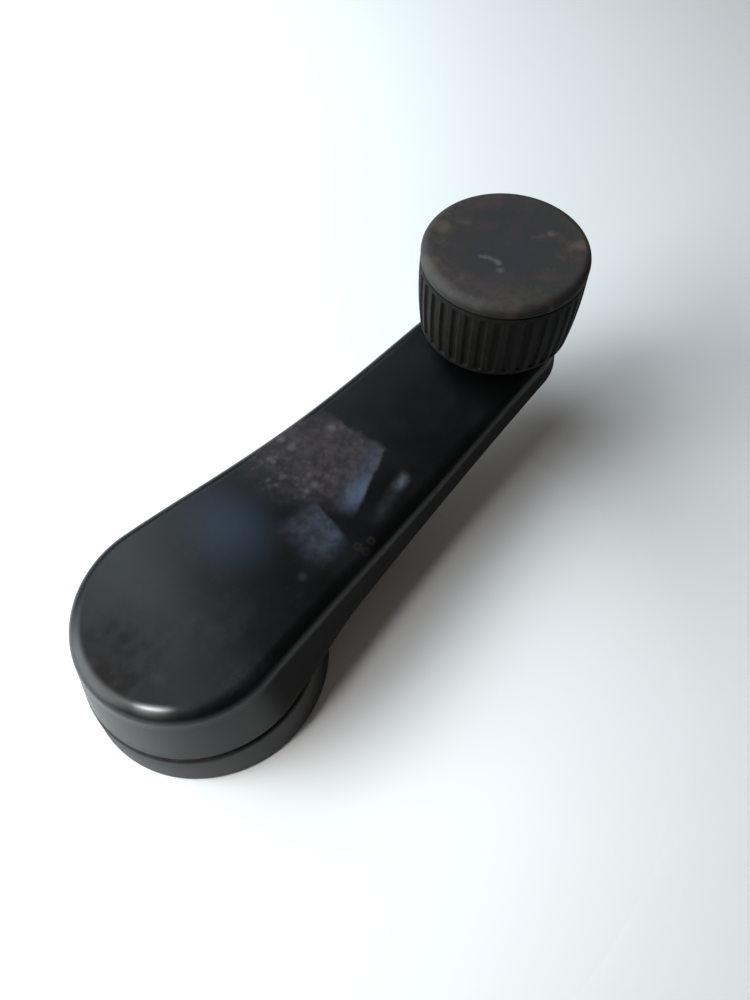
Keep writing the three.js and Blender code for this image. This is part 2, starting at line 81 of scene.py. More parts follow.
def soft_light(name, place, aim, size, power, colour, turn=0.0, beam=math.pi):
    """A softbox in millimetres; turn is about its own axis, beam is how wide it spreads."""
    lamp = bpy.data.lights.new(name, "AREA")
    lamp.shape = "RECTANGLE"
    lamp.size, lamp.size_y = (side * mm for side in size)
    lamp.energy = power
    lamp.color = colour
    lamp.spread = beam
    light = bpy.data.objects.new(name, lamp)
    light.location = Vector(place) * mm
    light.rotation_mode = "QUATERNION"
    facing = (Vector(aim) - Vector(place)).to_track_quat("-Z", "Y")
    light.rotation_quaternion = facing @ Quaternion((0, 0, 1), turn)
    bpy.context.scene.collection.objects.link(light)


class Wire:
    """The output of a node, or with no socket a whole node tree. Sums on wires add nodes."""

    def __init__(self, tree, socket=None):
        self.tree = tree
        self.socket = socket

    def add(self, kind, settings=None, inputs=None, output=0):
        """Adds a node: first its settings, then the values or wires of its sockets."""
        node = self.tree.nodes.new(kind)
        for name, value in (settings or {}).items():
            setattr(node, name, value)
        for name, value in (inputs or {}).items():
            if isinstance(value, Wire):
                self.tree.links.new(value.socket, node.inputs[name])
            else:
                node.inputs[name].default_value = value
        return Wire(self.tree, node.outputs[output])

    def maths(self, operation, *others):
        terms = dict(enumerate((self, *others)))
        return self.add("ShaderNodeMath", {"operation": operation}, terms)

    def __add__(self, other):
        return self.maths("ADD", other)

    def __mul__(self, other):
        return self.maths("MULTIPLY", other)

    def __sub__(self, other):
        return self.maths("SUBTRACT", other)

    def __rsub__(self, other):
        return self.add("ShaderNodeMath", {"operation": "SUBTRACT"}, {0: other, 1: self})

    def __truediv__(self, other):
        return self.maths("DIVIDE", other)

    def __pow__(self, other):
        return self.maths("POWER", other)

    __radd__ = __add__
    __rmul__ = __mul__

    def rise(self, start, end):
        """0 before start, 1 after end and smooth between them; a falling wire has start > end."""
        return self.add(
            "ShaderNodeMapRange", {"interpolation_type": "SMOOTHSTEP"},
            {"Value": self, "From Min": start, "From Max": end},
        )

    def stretched(self, scale):
        """This vector times a vector."""
        return self.add("ShaderNodeVectorMath", {"operation": "MULTIPLY"}, {0: self, 1: scale})

    def noise(self, scale, detail=3.0, roughness=0.5):
        """Cloudy noise from 0 to 1 at this place."""
        return self.add(
            "ShaderNodeTexNoise", None,
            {"Vector": self, "Scale": scale, "Detail": detail, "Roughness": roughness},
        )

    def specks(self, scale):
        """The distance to the nearest of many scattered points, in cells."""
        return self.add("ShaderNodeTexVoronoi", None, {"Vector": self, "Scale": scale})

    def parts(self):
        """The x, y and z of this place."""
        return [self.add("ShaderNodeSeparateXYZ", None, {0: self}, output=i) for i in range(3)]


class Finish:
    """A Principled material under construction. place is the spot on the piece in millimetres."""

    def __init__(self, name, colour, roughness, **constants):
        self.material = bpy.data.materials.new(name)
        self.material.use_nodes = True
        self.sheet = Wire(self.material.node_tree)
        self.shader = self.material.node_tree.nodes["Principled BSDF"]
        for socket, value in constants.items():
            self.shader.inputs[socket.replace("_", " ")].default_value = value
        spot = self.sheet.add("ShaderNodeTexCoord", output="Object")
        self.place = spot.stretched((1 / mm, 1 / mm, 1 / mm))
        self.colour = (*colour, 1)
        self.roughness = roughness
        self.polished = None
        self.relief = None

    def coat(self, share, colour, roughness):
        """Lays dust, dirt, wear, or painted light and shade, over what is there, where share is 1.
        """
        self.colour = self.sheet.add(
            "ShaderNodeMix", {"data_type": "RGBA"},
            {0: share, 6: self.colour, 7: (*colour, 1)}, output=2,
        )
        self.roughness = self.roughness + (roughness - self.roughness) * share

    def polish(self, share):
        """Rubs a thin gloss onto the surface, where share is 1."""
        self.polished = share if self.polished is None else self.polished + share

    def emboss(self, height):
        """Adds height, in millimetres, to the surface's relief."""
        self.relief = height if self.relief is None else self.relief + height

    def done(self):
        links = self.material.node_tree.links
        links.new(self.colour.socket, self.shader.inputs["Base Color"])
        if isinstance(self.roughness, Wire):
            links.new(self.roughness.socket, self.shader.inputs["Roughness"])
        else:
            self.shader.inputs["Roughness"].default_value = self.roughness
        if self.polished is not None:
            links.new(self.polished.socket, self.shader.inputs["Coat Weight"])
        if self.relief is not None:
            bump = self.sheet.add(
                "ShaderNodeBump", None, {"Strength": 1.0, "Distance": mm, "Height": self.relief}
            )
            links.new(bump.socket, self.shader.inputs["Normal"])
        return self.material


def floor_finish():
    paper = Finish("pale_floor", (0.91, 0.91, 0.905), 0.8, Specular_IOR_Level=0.2)
    paper.coat(paper.place.noise(0.01).rise(0.35, 0.65) * 0.25, (0.88, 0.88, 0.875), 0.85)
    return paper.done()


def studio_floor():
    half = 1200 * mm
    mesh = bpy.data.meshes.new("studio_floor")
    corners = [(-half, -half, 0), (half, -half, 0), (half, half, 0), (-half, half, 0)]
    mesh.from_pydata(corners, [], [(0, 1, 2, 3)])
    mesh.materials.append(floor_finish())
    floor = bpy.data.objects.new("studio_floor", mesh)
    bpy.context.scene.collection.objects.link(floor)


def studio_room():
    world = bpy.data.worlds.new("studio_room")
    world.use_nodes = True
    background = world.node_tree.nodes["Background"]
    background.inputs["Color"].default_value = (1.0, 0.90, 0.80, 1)
    background.inputs["Strength"].default_value = 0.09
    bpy.context.scene.world = world
    bpy.context.scene.view_settings.view_transform = "Standard"


studio_camera()
studio_floor()
studio_room()
soft_light(
    "hanging_softbox", (-5, 300, 325), (-5, 300, 0), (460, 300), 2.4, (0.80, 0.92, 1.0),
    math.radians(40),
)
soft_light("left_window", (-350, 240, 220), (0, 5, 10), (360, 390), 3.1, (0.93, 1.0, 1.0))
soft_light(
    "honeycomb_lamp", (-160, 40, 327), (-18, -10, 30), (44, 44), 0.0110, (1.0, 1.0, 1.0),
    beam=math.radians(30),
)


# ======================================================================================
# Base ring: a hollow moulding of matt black plastic that stands between the arm and the door
# trim. It has a tapered rim, a collar that guides the arm's hub, and webs underneath.
# ======================================================================================

def box_mm(node):
    """The lowest and highest corner of a CAD node, in millimetres."""
    return [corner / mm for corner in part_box(node)]


def bend(start, corner, end, steps):
    """The points of a smooth bend from start to end that leans towards the corner."""
    for step in range(steps + 1):
        t = step / steps
        yield start * (1 - t) ** 2 + corner * 2 * t * (1 - t) + end * t * t


def rounded(corners, steps=4):
    """A profile with its corners rounded; each corner is (radius, height, rounding)."""
    points = []
    for i, (r, z, rounding) in enumerate(corners):
        before = Vector(corners[i - 1][:2])
        after = Vector(corners[(i + 1) % len(corners)][:2])
        corner = Vector((r, z))
        if rounding == 0:
            points.append(corner)
            continue
        back, ahead = before - corner, after - corner
        reach = min(rounding, 0.45 * back.length, 0.45 * ahead.length)
        start, end = corner + back.normalized() * reach, corner + ahead.normalized() * reach
        points.extend(bend(start, corner, end, steps))
    return [tuple(point) for point in points]


def joined_piece(name, mesh_in_progress, finish, crease=35):
    """A named object from a bmesh in millimetres, smooth except at creases."""
    weld = 1e-4
    bmesh.ops.remove_doubles(mesh_in_progress, verts=mesh_in_progress.verts, dist=weld)
    bmesh.ops.recalc_face_normals(mesh_in_progress, faces=mesh_in_progress.faces)
    bmesh.ops.scale(mesh_in_progress, vec=(mm, mm, mm), verts=mesh_in_progress.verts)
    mesh = bpy.data.meshes.new(name)
    mesh_in_progress.to_mesh(mesh)
    mesh_in_progress.free()
    mesh.materials.append(finish)
    piece = bpy.data.objects.new(name, mesh)
    bpy.context.scene.collection.objects.link(piece)
    smoothed(piece, crease)
    return piece


def smoothed(piece, crease=35):
    """Shades a piece smooth, except at edges sharper than the crease in degrees."""
    piece.data.polygons.foreach_set("use_smooth", [True] * len(piece.data.polygons))
    piece.data.set_sharp_from_angle(angle=math.radians(crease))
    piece.data.update()


def full_turn(count):
    """The angles of so many equal steps round an axis."""
    return [2 * math.pi * i / count for i in range(count)]


def turned(name, profile, finish, axis_x=0.0, segments=96, crease=35):
    """A body of revolution whose profile is a closed loop, or starts and ends on the axis."""
    on_axis = 1e-6
    work = bmesh.new()
    rings = []
    for r, z in profile:
        if r < on_axis:
            rings.append([work.verts.new((axis_x, 0, z))] * segments)
            continue
        rings.append([
            work.verts.new((axis_x + r * math.cos(turn), r * math.sin(turn), z))
            for turn in full_turn(segments)
        ])
    closed = profile[0][0] > on_axis
    for here, there in zip(rings, rings[1:] + rings[:1] if closed else rings[1:]):
        for i in range(segments):
            j = (i + 1) % segments
            corners = list(dict.fromkeys((here[i], here[j], there[j], there[i])))
            if len(corners) > 2:
                work.faces.new(corners)
    return joined_piece(name, work, finish, crease)


def plain_mesh(piece):
    """Replaces the piece's mesh by what its modifiers make of it."""
    graph = bpy.context.evaluated_depsgraph_get()
    made = bpy.data.meshes.new_from_object(piece.evaluated_get(graph), depsgraph=graph)
    piece.modifiers.clear()
    piece.data = made


def worked(piece, tree, finish, **sizes):
    """Runs a Geometry Nodes tree on a piece with named inputs and keeps the plain result."""
    modifier = piece.modifiers.new(tree.name, "NODES")
    modifier.node_group = tree
    sizes["finish"] = finish
    for item in tree.interface.items_tree:
        if item.in_out == "INPUT" and item.name in sizes:
            modifier[item.identifier] = sizes[item.name]
    plain_mesh(piece)
    smoothed(piece)


def new_tree(name, **kinds):
    """A Geometry Nodes tree with one geometry in and out and the named inputs."""
    tree = bpy.data.node_groups.new(name, "GeometryNodeTree")
    tree.interface.new_socket("body", in_out="INPUT", socket_type="NodeSocketGeometry")
    for socket, kind in kinds.items():
        tree.interface.new_socket(socket, in_out="INPUT", socket_type="NodeSocket" + kind)
    tree.interface.new_socket("finish", in_out="INPUT", socket_type="NodeSocketMaterial")
    tree.interface.new_socket("result", in_out="OUTPUT", socket_type="NodeSocketGeometry")
    given = tree.nodes.new("NodeGroupInput")
    sheet = Wire(tree)
    wires = {socket.name: Wire(tree, socket) for socket in given.outputs if socket.name}
    return sheet, wires


def close_tree(sheet, geometry, finish):
    """Ends a tree in Realize Instances and Set Material."""
    real = sheet.add("GeometryNodeRealizeInstances", None, {"Geometry": geometry})
    coated = sheet.add("GeometryNodeSetMaterial", None, {"Geometry": real, "Material": finish})
    end = sheet.tree.nodes.new("NodeGroupOutput")
    sheet.tree.links.new(coated.socket, end.inputs[0])
    return sheet.tree


def spokes_tree(operation):
    """Flat bars that stand round an axis, joined to a body or cut out of it."""
    sheet, given = new_tree(
        "spokes_" + operation.lower(), count="Int", thickness="Float", inner="Float",
        outer="Float", low="Float", high="Float", turn="Float", axis_x="Float",
    )
    size = sheet.add("ShaderNodeCombineXYZ", None, {
        0: given["outer"] - given["inner"], 1: given["thickness"], 2: given["high"] - given["low"],
    })
    middle = sheet.add("ShaderNodeCombineXYZ", None, {
        0: (given["outer"] + given["inner"]) / 2, 2: (given["high"] + given["low"]) / 2,
    })
    bar = sheet.add("GeometryNodeMeshCube", None, {"Size": size})
    bar = sheet.add("GeometryNodeTransform", None, {"Geometry": bar, "Translation": middle})
    points = sheet.add("GeometryNodePoints", None, {"Count": given["count"]})
    turn = sheet.add("GeometryNodeInputIndex") * (2 * math.pi) / given["count"] + given["turn"]
    angles = sheet.add("ShaderNodeCombineXYZ", None, {2: turn})
    bars = sheet.add("GeometryNodeInstanceOnPoints", None, {
        "Points": points, "Instance": bar, "Rotation": angles,
    })
    bars = sheet.add("GeometryNodeRealizeInstances", None, {"Geometry": bars})
    axis = sheet.add("ShaderNodeCombineXYZ", None, {0: given["axis_x"]})
    bars = sheet.add("GeometryNodeTransform", None, {"Geometry": bars, "Translation": axis})
    return close_tree(sheet, combined(sheet, operation, given["body"], bars), given["finish"])


def combined(sheet, operation, body, tool):
    """Joins, cuts or intersects two closed meshes inside a tree."""
    node = sheet.tree.nodes.new("GeometryNodeMeshBoolean")
    node.operation = operation
    node.solver = "EXACT"
    node.inputs["Self Intersection"].default_value = True
    first = node.inputs["Mesh 1"] if operation == "DIFFERENCE" else node.inputs["Mesh 2"]
    sheet.tree.links.new(body.socket, first)
    sheet.tree.links.new(tool.socket, node.inputs["Mesh 2"])
    return Wire(sheet.tree, node.outputs["Mesh"])


def fitted(piece, node, body):
    """The piece stands for a CAD node and moves with its body."""
    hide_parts(node)
    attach(piece, body)


spokes_joined = spokes_tree("UNION")

ring_low, ring_high = box_mm("base_ring")
pad_low, pad_high = box_mm("anti_rattle_pad")
fit_gap, running_gap = 0.3, 0.5
hub_radius, collar_wall = 11.2, 1.8
ring_wall, ring_roof, ring_taper = 2.2, 2.0, 1.1
web_count, web_root = 6, 0.4
collar_inner = hub_radius + running_gap
collar_outer = collar_inner + collar_wall
ring_top_radius = ring_high.x - ring_taper


def ring_finish():
    plastic = Finish("matt_black_plastic", (0.0040, 0.0038, 0.0034), 0.5, Specular_IOR_Level=0.27)
    height = plastic.place.parts()[2]
    cloud = plastic.place.noise(0.12, 4)
    plastic.roughness = 0.42 + cloud * 0.16
    plastic.coat(cloud.rise(0.45, 0.8) * 0.25, (0.045, 0.042, 0.036), 0.7)
    groove_dust = height.rise(ring_high.z - 1.0, ring_high.z + 0.2)
    broken = plastic.place.noise(0.5, 4).rise(0.35, 0.7)
    plastic.coat(groove_dust * broken * 0.25, (0.07, 0.06, 0.05), 0.85)
    specks = plastic.place.specks(1.1).rise(0.16, 0.08) * plastic.place.noise(0.3).rise(0.5, 0.6)
    plastic.coat(specks * 0.5, (0.13, 0.12, 0.10), 0.85)
    grain = plastic.place.noise(5.0, 2)
    plastic.emboss(grain * 0.012 + plastic.place.stretched((0.3, 0.3, 4)).noise(1.2, 4) * 0.01)
    return plastic.done()


def base_ring():
    foot, shoulder = ring_low.z, ring_high.z - ring_roof
    wall_inner = ring_top_radius - ring_wall
    finish = ring_finish()
    profile = rounded([
        (ring_high.x, foot, 0.35),
        (ring_top_radius, ring_high.z, 0.9),
        (collar_inner, ring_high.z, 0.4),
        (collar_inner, foot, 0.3),
        (collar_outer, foot, 0.3),
        (collar_outer, shoulder, 0.5),
        (wall_inner, shoulder, 0.5),
        (wall_inner, foot, 0.3),
    ])
    ring = turned("visual_base_ring", profile, finish, segments=160)
    worked(
        ring, spokes_joined, finish, count=web_count, thickness=1.4 * mm,
        inner=(collar_outer - web_root) * mm, outer=(wall_inner + web_root) * mm,
        low=(pad_high.z + fit_gap) * mm, high=(shoulder + web_root) * mm,
    )
    fitted(ring, "base_ring", "base")


base_ring()


# ======================================================================================
# Anti-rattle pad: a ring punched from grey pressed felt and glued into the base ring, so that
# the hard plastic never touches the door trim.
# ======================================================================================

def felt_finish():
    felt = Finish("grey_felt", (0.075, 0.072, 0.067), 0.95, Sheen_Weight=0.5, Sheen_Roughness=0.6)
    fibres = felt.place.stretched((1, 4, 1)).noise(2.2, 6, 0.7)
    crossing = felt.place.stretched((4, 1, 1)).noise(2.0, 6, 0.7)
    felt.coat(fibres.rise(0.4, 0.75) * 0.7, (0.13, 0.125, 0.115), 0.95)
    felt.coat(crossing.rise(0.5, 0.8) * 0.6, (0.03, 0.029, 0.027), 0.95)
    felt.emboss(fibres * 0.25 + crossing * 0.25)
    return felt.done()


def flat_ring(inner, outer, low, high, roundings, steps=4):
    """A washer's section: its inner low, outer low, outer high and inner high edges, rounded."""
    corners = (inner, low), (outer, low), (outer, high), (inner, high)
    return rounded([(*corner, r) for corner, r in zip(corners, roundings)], steps)


def anti_rattle_pad():
    lift, ripple_height = 0.04, 0.02
    profile = flat_ring(
        collar_outer + fit_gap, pad_high.x, pad_low.z, pad_high.z, (0.35, 0.35, 0.2, 0.2)
    )
    pad = turned("visual_anti_rattle_pad", profile, felt_finish(), segments=144)
    for vertex in pad.data.vertices:
        x, y, z = vertex.co / mm
        if z < (pad_low.z + pad_high.z) / 2:
            turn = math.atan2(y, x)
            ripple = math.sin(7 * turn) + math.sin(11 * turn + 1.3)
            vertex.co.z += (lift + ripple_height * ripple) * mm
    fitted(pad, "anti_rattle_pad", "base")


anti_rattle_pad()


# ======================================================================================
# Crank arm: one moulding of satin black plastic, hollow underneath. Its flat top dips towards
# the middle and rolls over into a flared skirt; ribs, a hub and a boss stiffen the underside.
# ======================================================================================

knob_joint = next(joint for joint in frame["joints"] if joint["name"] == "knob_spin")
throw = knob_joint["pos_m"][0] / mm
arm_low, arm_high = box_mm("crank_arm")
insert_low, insert_high = box_mm("splined_insert")
washer_low, washer_high = box_mm("backing_washer")
clip_low, clip_high = box_mm("retaining_clip")
boss_flare, tip_flare, flare_fade = 2.4, 0.55, 24.0
boss_radius = -arm_low.x - boss_flare
tip_radius = arm_high.x - throw - tip_flare
side_radius = 1400.0
boss_top, tip_top, sag = arm_high.z, 25.0, 2.5
edge_rounding = 2.9
skirt_gap, tip_depth = 0.7, 7.3
boss_foot, tip_foot = ring_high.z + skirt_gap, tip_top - tip_depth
arm_wall, arm_roof = 2.4, 2.8
rib_thickness, long_rib_offset, rib_foot_lift = 1.6, 4.8, 2.65
cross_rib_count, first_cross_rib, last_cross_rib = 6, 19.25, 73.0
spoke_count, spoke_turn, spoke_step = 5, math.radians(75), math.radians(52.5)
tip_boss_radius, spindle_hole_radius = 7.4, 3.3
past_the_hub = 12.0
clip_leg = 4.9
clip_height = (clip_high.z + clip_low.z) / 2
clip_slot = (clip_high.z - clip_low.z) / 2 + fit_gap


def eased(share):
    """A share from 0 to 1 with a soft start and a soft end."""
    share = min(max(share, 0.0), 1.0)
    return share * share * (3 - 2 * share)


def between(start, end, share):
    return start + (end - start) * share


def arm_top(x):
    """The height of the arm's flat top, which eases from boss to tip and sags in between."""
    share = min(max(x / throw, 0.0), 1.0)
    return between(boss_top, tip_top, eased(share)) - sag * 16 * (share * (1 - share)) ** 2


def arm_foot(x):
    """The height of the skirt's lower edge, level under the boss and then rising to the tip."""
    start = boss_radius / 2
    return between(boss_foot, tip_foot, min(max((x - start) / (throw - start), 0.0), 1.0))


def arm_flare(x):
    """How far the skirt's lower edge stands out past its top."""
    return between(boss_flare, tip_flare, eased(x / flare_fade))


def arm_side(steps=(48, 56, 36)):
    """Half of the outline, from behind the boss round to the tip, as (x, y, out x, out y)."""
    reach_boss, reach_tip = side_radius + boss_radius, side_radius + tip_radius
    centre_x = (reach_boss ** 2 - reach_tip ** 2 + throw ** 2) / (2 * throw)
    centre_y = math.sqrt(reach_boss ** 2 - centre_x ** 2)
    boss_end = math.atan2(centre_y, centre_x)
    tip_end = math.atan2(centre_y, centre_x - throw)
    start = math.pi * (1 - 0.5 / steps[0])
    arcs = [
        (0.0, 0.0, boss_radius, start, boss_end, 1),
        (centre_x, centre_y, side_radius, boss_end + math.pi, tip_end + math.pi, -1),
        (throw, 0.0, tip_radius, tip_end, math.pi * 0.5 / steps[2], 1),
    ]
    half = []
    for (x, y, radius, turn, end, outward), count in zip(arcs, steps):
        for i in range(count + (outward == 1 and x > 0)):
            angle = between(turn, end, i / count)
            c, s = math.cos(angle), math.sin(angle)
            half.append((x + radius * c, y + radius * s, outward * c, outward * s))
    return half


arm_half = arm_side()


def arm_loop(offset, height):
    """The outline moved out by offset(x), at height(x)."""
    side = [
        (x + out_x * offset(x), y + out_y * offset(x), height(x))
        for x, y, out_x, out_y in arm_half
    ]
    return side + [(x, -y, z) for x, y, z in reversed(side)]


def arm_skin(work, loops):
    """A closed skin through the loops, with strips straight across both ends."""
    rows = [[work.verts.new(point) for point in loop] for loop in loops]
    count = len(rows[0])
    for lower, upper in zip(rows, rows[1:]):
        for i in range(count):
            j = (i + 1) % count
            work.faces.new((lower[i], lower[j], upper[j], upper[i]))
    for row in (rows[0], rows[-1]):
        for i in range(count // 2 - 1):
            work.faces.new((row[i], row[i + 1], row[count - 2 - i], row[count - 1 - i]))


def arc_steps(count):
    """(1 - cos, 1 - sin) round a quarter turn, for rolling one face into the next."""
    for i in range(count + 1):
        angle = math.pi / 2 * i / count
        yield 1 - math.cos(angle), 1 - math.sin(angle)


def arm_shell_loops():
    """Loops from the hollow's roof down its wall, round the lip, up the skirt and over the top."""
    lip, corner = 0.45, 0.9
    lip_bevel = lip * 0.3
    inner_side = arm_roof + corner
    loops = []
    for inwards, below in reversed(list(arc_steps(4))):
        loops.append(arm_loop(
            lambda x, i=inwards: -arm_wall - corner * i,
            lambda x, b=below: arm_top(x) - arm_roof - corner * b,
        ))
    for step in range(1, 4):
        share = step / 4
        loops.append(arm_loop(
            lambda x, s=share: between(-arm_wall, arm_flare(x) - arm_wall, s),
            lambda x, s=share: between(arm_top(x) - inner_side, arm_foot(x) + lip, s),
        ))
    loops.append(arm_loop(lambda x: arm_flare(x) - arm_wall, lambda x: arm_foot(x) + lip))
    loops.append(arm_loop(
        lambda x: arm_flare(x) - arm_wall + lip_bevel, lambda x: arm_foot(x) + lip_bevel
    ))
    loops.append(arm_loop(lambda x: arm_flare(x) - arm_wall + lip, arm_foot))
    loops.append(arm_loop(lambda x: arm_flare(x) - lip, arm_foot))
    loops.append(arm_loop(lambda x: arm_flare(x) - lip_bevel, lambda x: arm_foot(x) + lip_bevel))
    for step in range(8):
        share = step / 8
        loops.append(arm_loop(
            lambda x, s=share: between(arm_flare(x), 0.0, s),
            lambda x, s=share: between(arm_foot(x) + lip, arm_top(x) - edge_rounding, s),
        ))
    for inwards, below in arc_steps(10):
        loops.append(arm_loop(
            lambda x, i=inwards: -edge_rounding * i,
            lambda x, b=below: arm_top(x) - edge_rounding * b,
        ))
    return loops


def arm_ribs_tree():
    """Cross ribs, two lengthwise ribs and spokes round the hub, trimmed to the arm's hollow."""
    sheet, given = new_tree(
        "arm_ribs", room="Object", cross_count="Int", first="Float", last="Float",
        thickness="Float", width="Float", depth="Float", lengthwise="Float", length="Float",
        spoke_count="Int", spoke_length="Float", spoke_turn="Float", spoke_step="Float",
    )

    def bars(size, points, rotation=None):
        bar = sheet.add("GeometryNodeMeshCube", None, {
            "Size": sheet.add("ShaderNodeCombineXYZ", None, dict(enumerate(size)))
        })
        sockets = {"Points": points, "Instance": bar}
        if rotation is not None:
            sockets["Rotation"] = sheet.add("ShaderNodeCombineXYZ", None, {2: rotation})
            shifted = sheet.add("ShaderNodeCombineXYZ", None, {0: size[0] / 2})
            sockets["Instance"] = sheet.add(
                "GeometryNodeTransform", None, {"Geometry": bar, "Translation": shifted}
            )
        return sheet.add("GeometryNodeInstanceOnPoints", None, sockets)

    def line(count, start, step):
        return sheet.add("GeometryNodeMeshLine", None, {
            "Count": count,
            "Start Location": sheet.add("ShaderNodeCombineXYZ", None, dict(enumerate(start))),
            "Offset": sheet.add("ShaderNodeCombineXYZ", None, dict(enumerate(step))),
        })

    pitch = (given["last"] - given["first"]) / (given["cross_count"] - 1)
    across = bars(
        (given["thickness"], given["width"], given["depth"]),
        line(given["cross_count"], (given["first"], 0.0, 0.0), (pitch, 0.0, 0.0)),
    )
    along = bars(
        (given["length"], given["thickness"], given["depth"]),
        line(2, (given["length"] / 2, given["lengthwise"] * -1, 0.0),
             (0.0, given["lengthwise"] * 2, 0.0)),
    )
    turn = sheet.add("GeometryNodeInputIndex") * given["spoke_step"] + given["spoke_turn"]
    spokes = bars(
        (given["spoke_length"], given["thickness"], given["depth"]),
        line(given["spoke_count"], (0.0, 0.0, 0.0), (0.0, 0.0, 0.0)), turn,
    )
    joined = sheet.tree.nodes.new("GeometryNodeJoinGeometry")
    for wire in (across, along, spokes):
        sheet.tree.links.new(wire.socket, joined.inputs[0])
    ribs = Wire(sheet.tree, joined.outputs[0])
    ribs = sheet.add("GeometryNodeRealizeInstances", None, {"Geometry": ribs})
    room = sheet.add("GeometryNodeObjectInfo", None, {"Object": given["room"]}, output="Geometry")
    ribs = combined(sheet, "INTERSECT", ribs, room)
    return close_tree(sheet, combined(sheet, "UNION", given["body"], ribs), given["finish"])


def shaped(piece, tool, operation):
    """Joins or cuts the piece with a throwaway tool."""
    modifier = piece.modifiers.new(operation, "BOOLEAN")
    modifier.operation = operation
    modifier.solver = "EXACT"
    modifier.object = tool
    plain_mesh(piece)
    bpy.data.objects.remove(tool)


def cleaned(piece):
    """Removes the slivers that cutting and joining leave, and closes the small gaps."""
    one_micron = 1e-6
    work = bmesh.new()
    work.from_mesh(piece.data)
    bmesh.ops.remove_doubles(work, verts=work.verts, dist=one_micron)
    bmesh.ops.dissolve_degenerate(work, dist=one_micron, edges=work.edges)
    rims = [edge for edge in work.edges if len(edge.link_faces) == 1]
    bmesh.ops.holes_fill(work, edges=rims, sides=4)
    bmesh.ops.triangulate(work, faces=work.faces)
    bmesh.ops.recalc_face_normals(work, faces=work.faces)
    work.to_mesh(piece.data)
    work.free()


def brick(name, low, high, finish):
    """A throwaway block between two corners."""
    work = bmesh.new()
    bmesh.ops.create_cube(work, size=1.0)
    for vertex in work.verts:
        vertex.co = [between(a, b, share + 0.5) for a, b, share in zip(low, high, vertex.co)]
    return joined_piece(name, work, finish)


def disc_profile(radius, low, high):
    return rounded([(0, low, 0), (radius, low, 0), (radius, high, 0), (0, high, 0)])


def cut_clip_slots(piece, reach, finish):
    """Cuts the two slots that the clip's legs lie in."""
    for side in (-1, 1):
        low = (-reach, side * clip_leg - clip_slot, clip_height - clip_slot)
        high = (reach, side * clip_leg + clip_slot, clip_height + clip_slot)
        shaped(piece, brick("clip_slot", low, high, finish), "DIFFERENCE")


def half_plane(x, y, start, end, softness):
    """1 to the left of the line from start to end, fading over softness millimetres."""
    along = (Vector(end) - Vector(start)).normalized()
    offset = along.x * start[1] - along.y * start[0]
    return (y * along.x - x * along.y - offset).rise(-softness, softness)


def inside_of(x, y, corners, softness):
    """1 inside a convex outline whose corners run anticlockwise."""
    mask = 1.0
    for start, end, soft in zip(corners, corners[1:] + corners[:1], softness):
        mask = half_plane(x, y, start, end, soft) * mask
    return mask


def spot(x, y, centre, radius, softness):
    """A round spot that fades over its last softness millimetres."""
    distance = ((x - centre[0]) ** 2 + (y - centre[1]) ** 2) ** 0.5
    return distance.rise(radius, radius - softness)


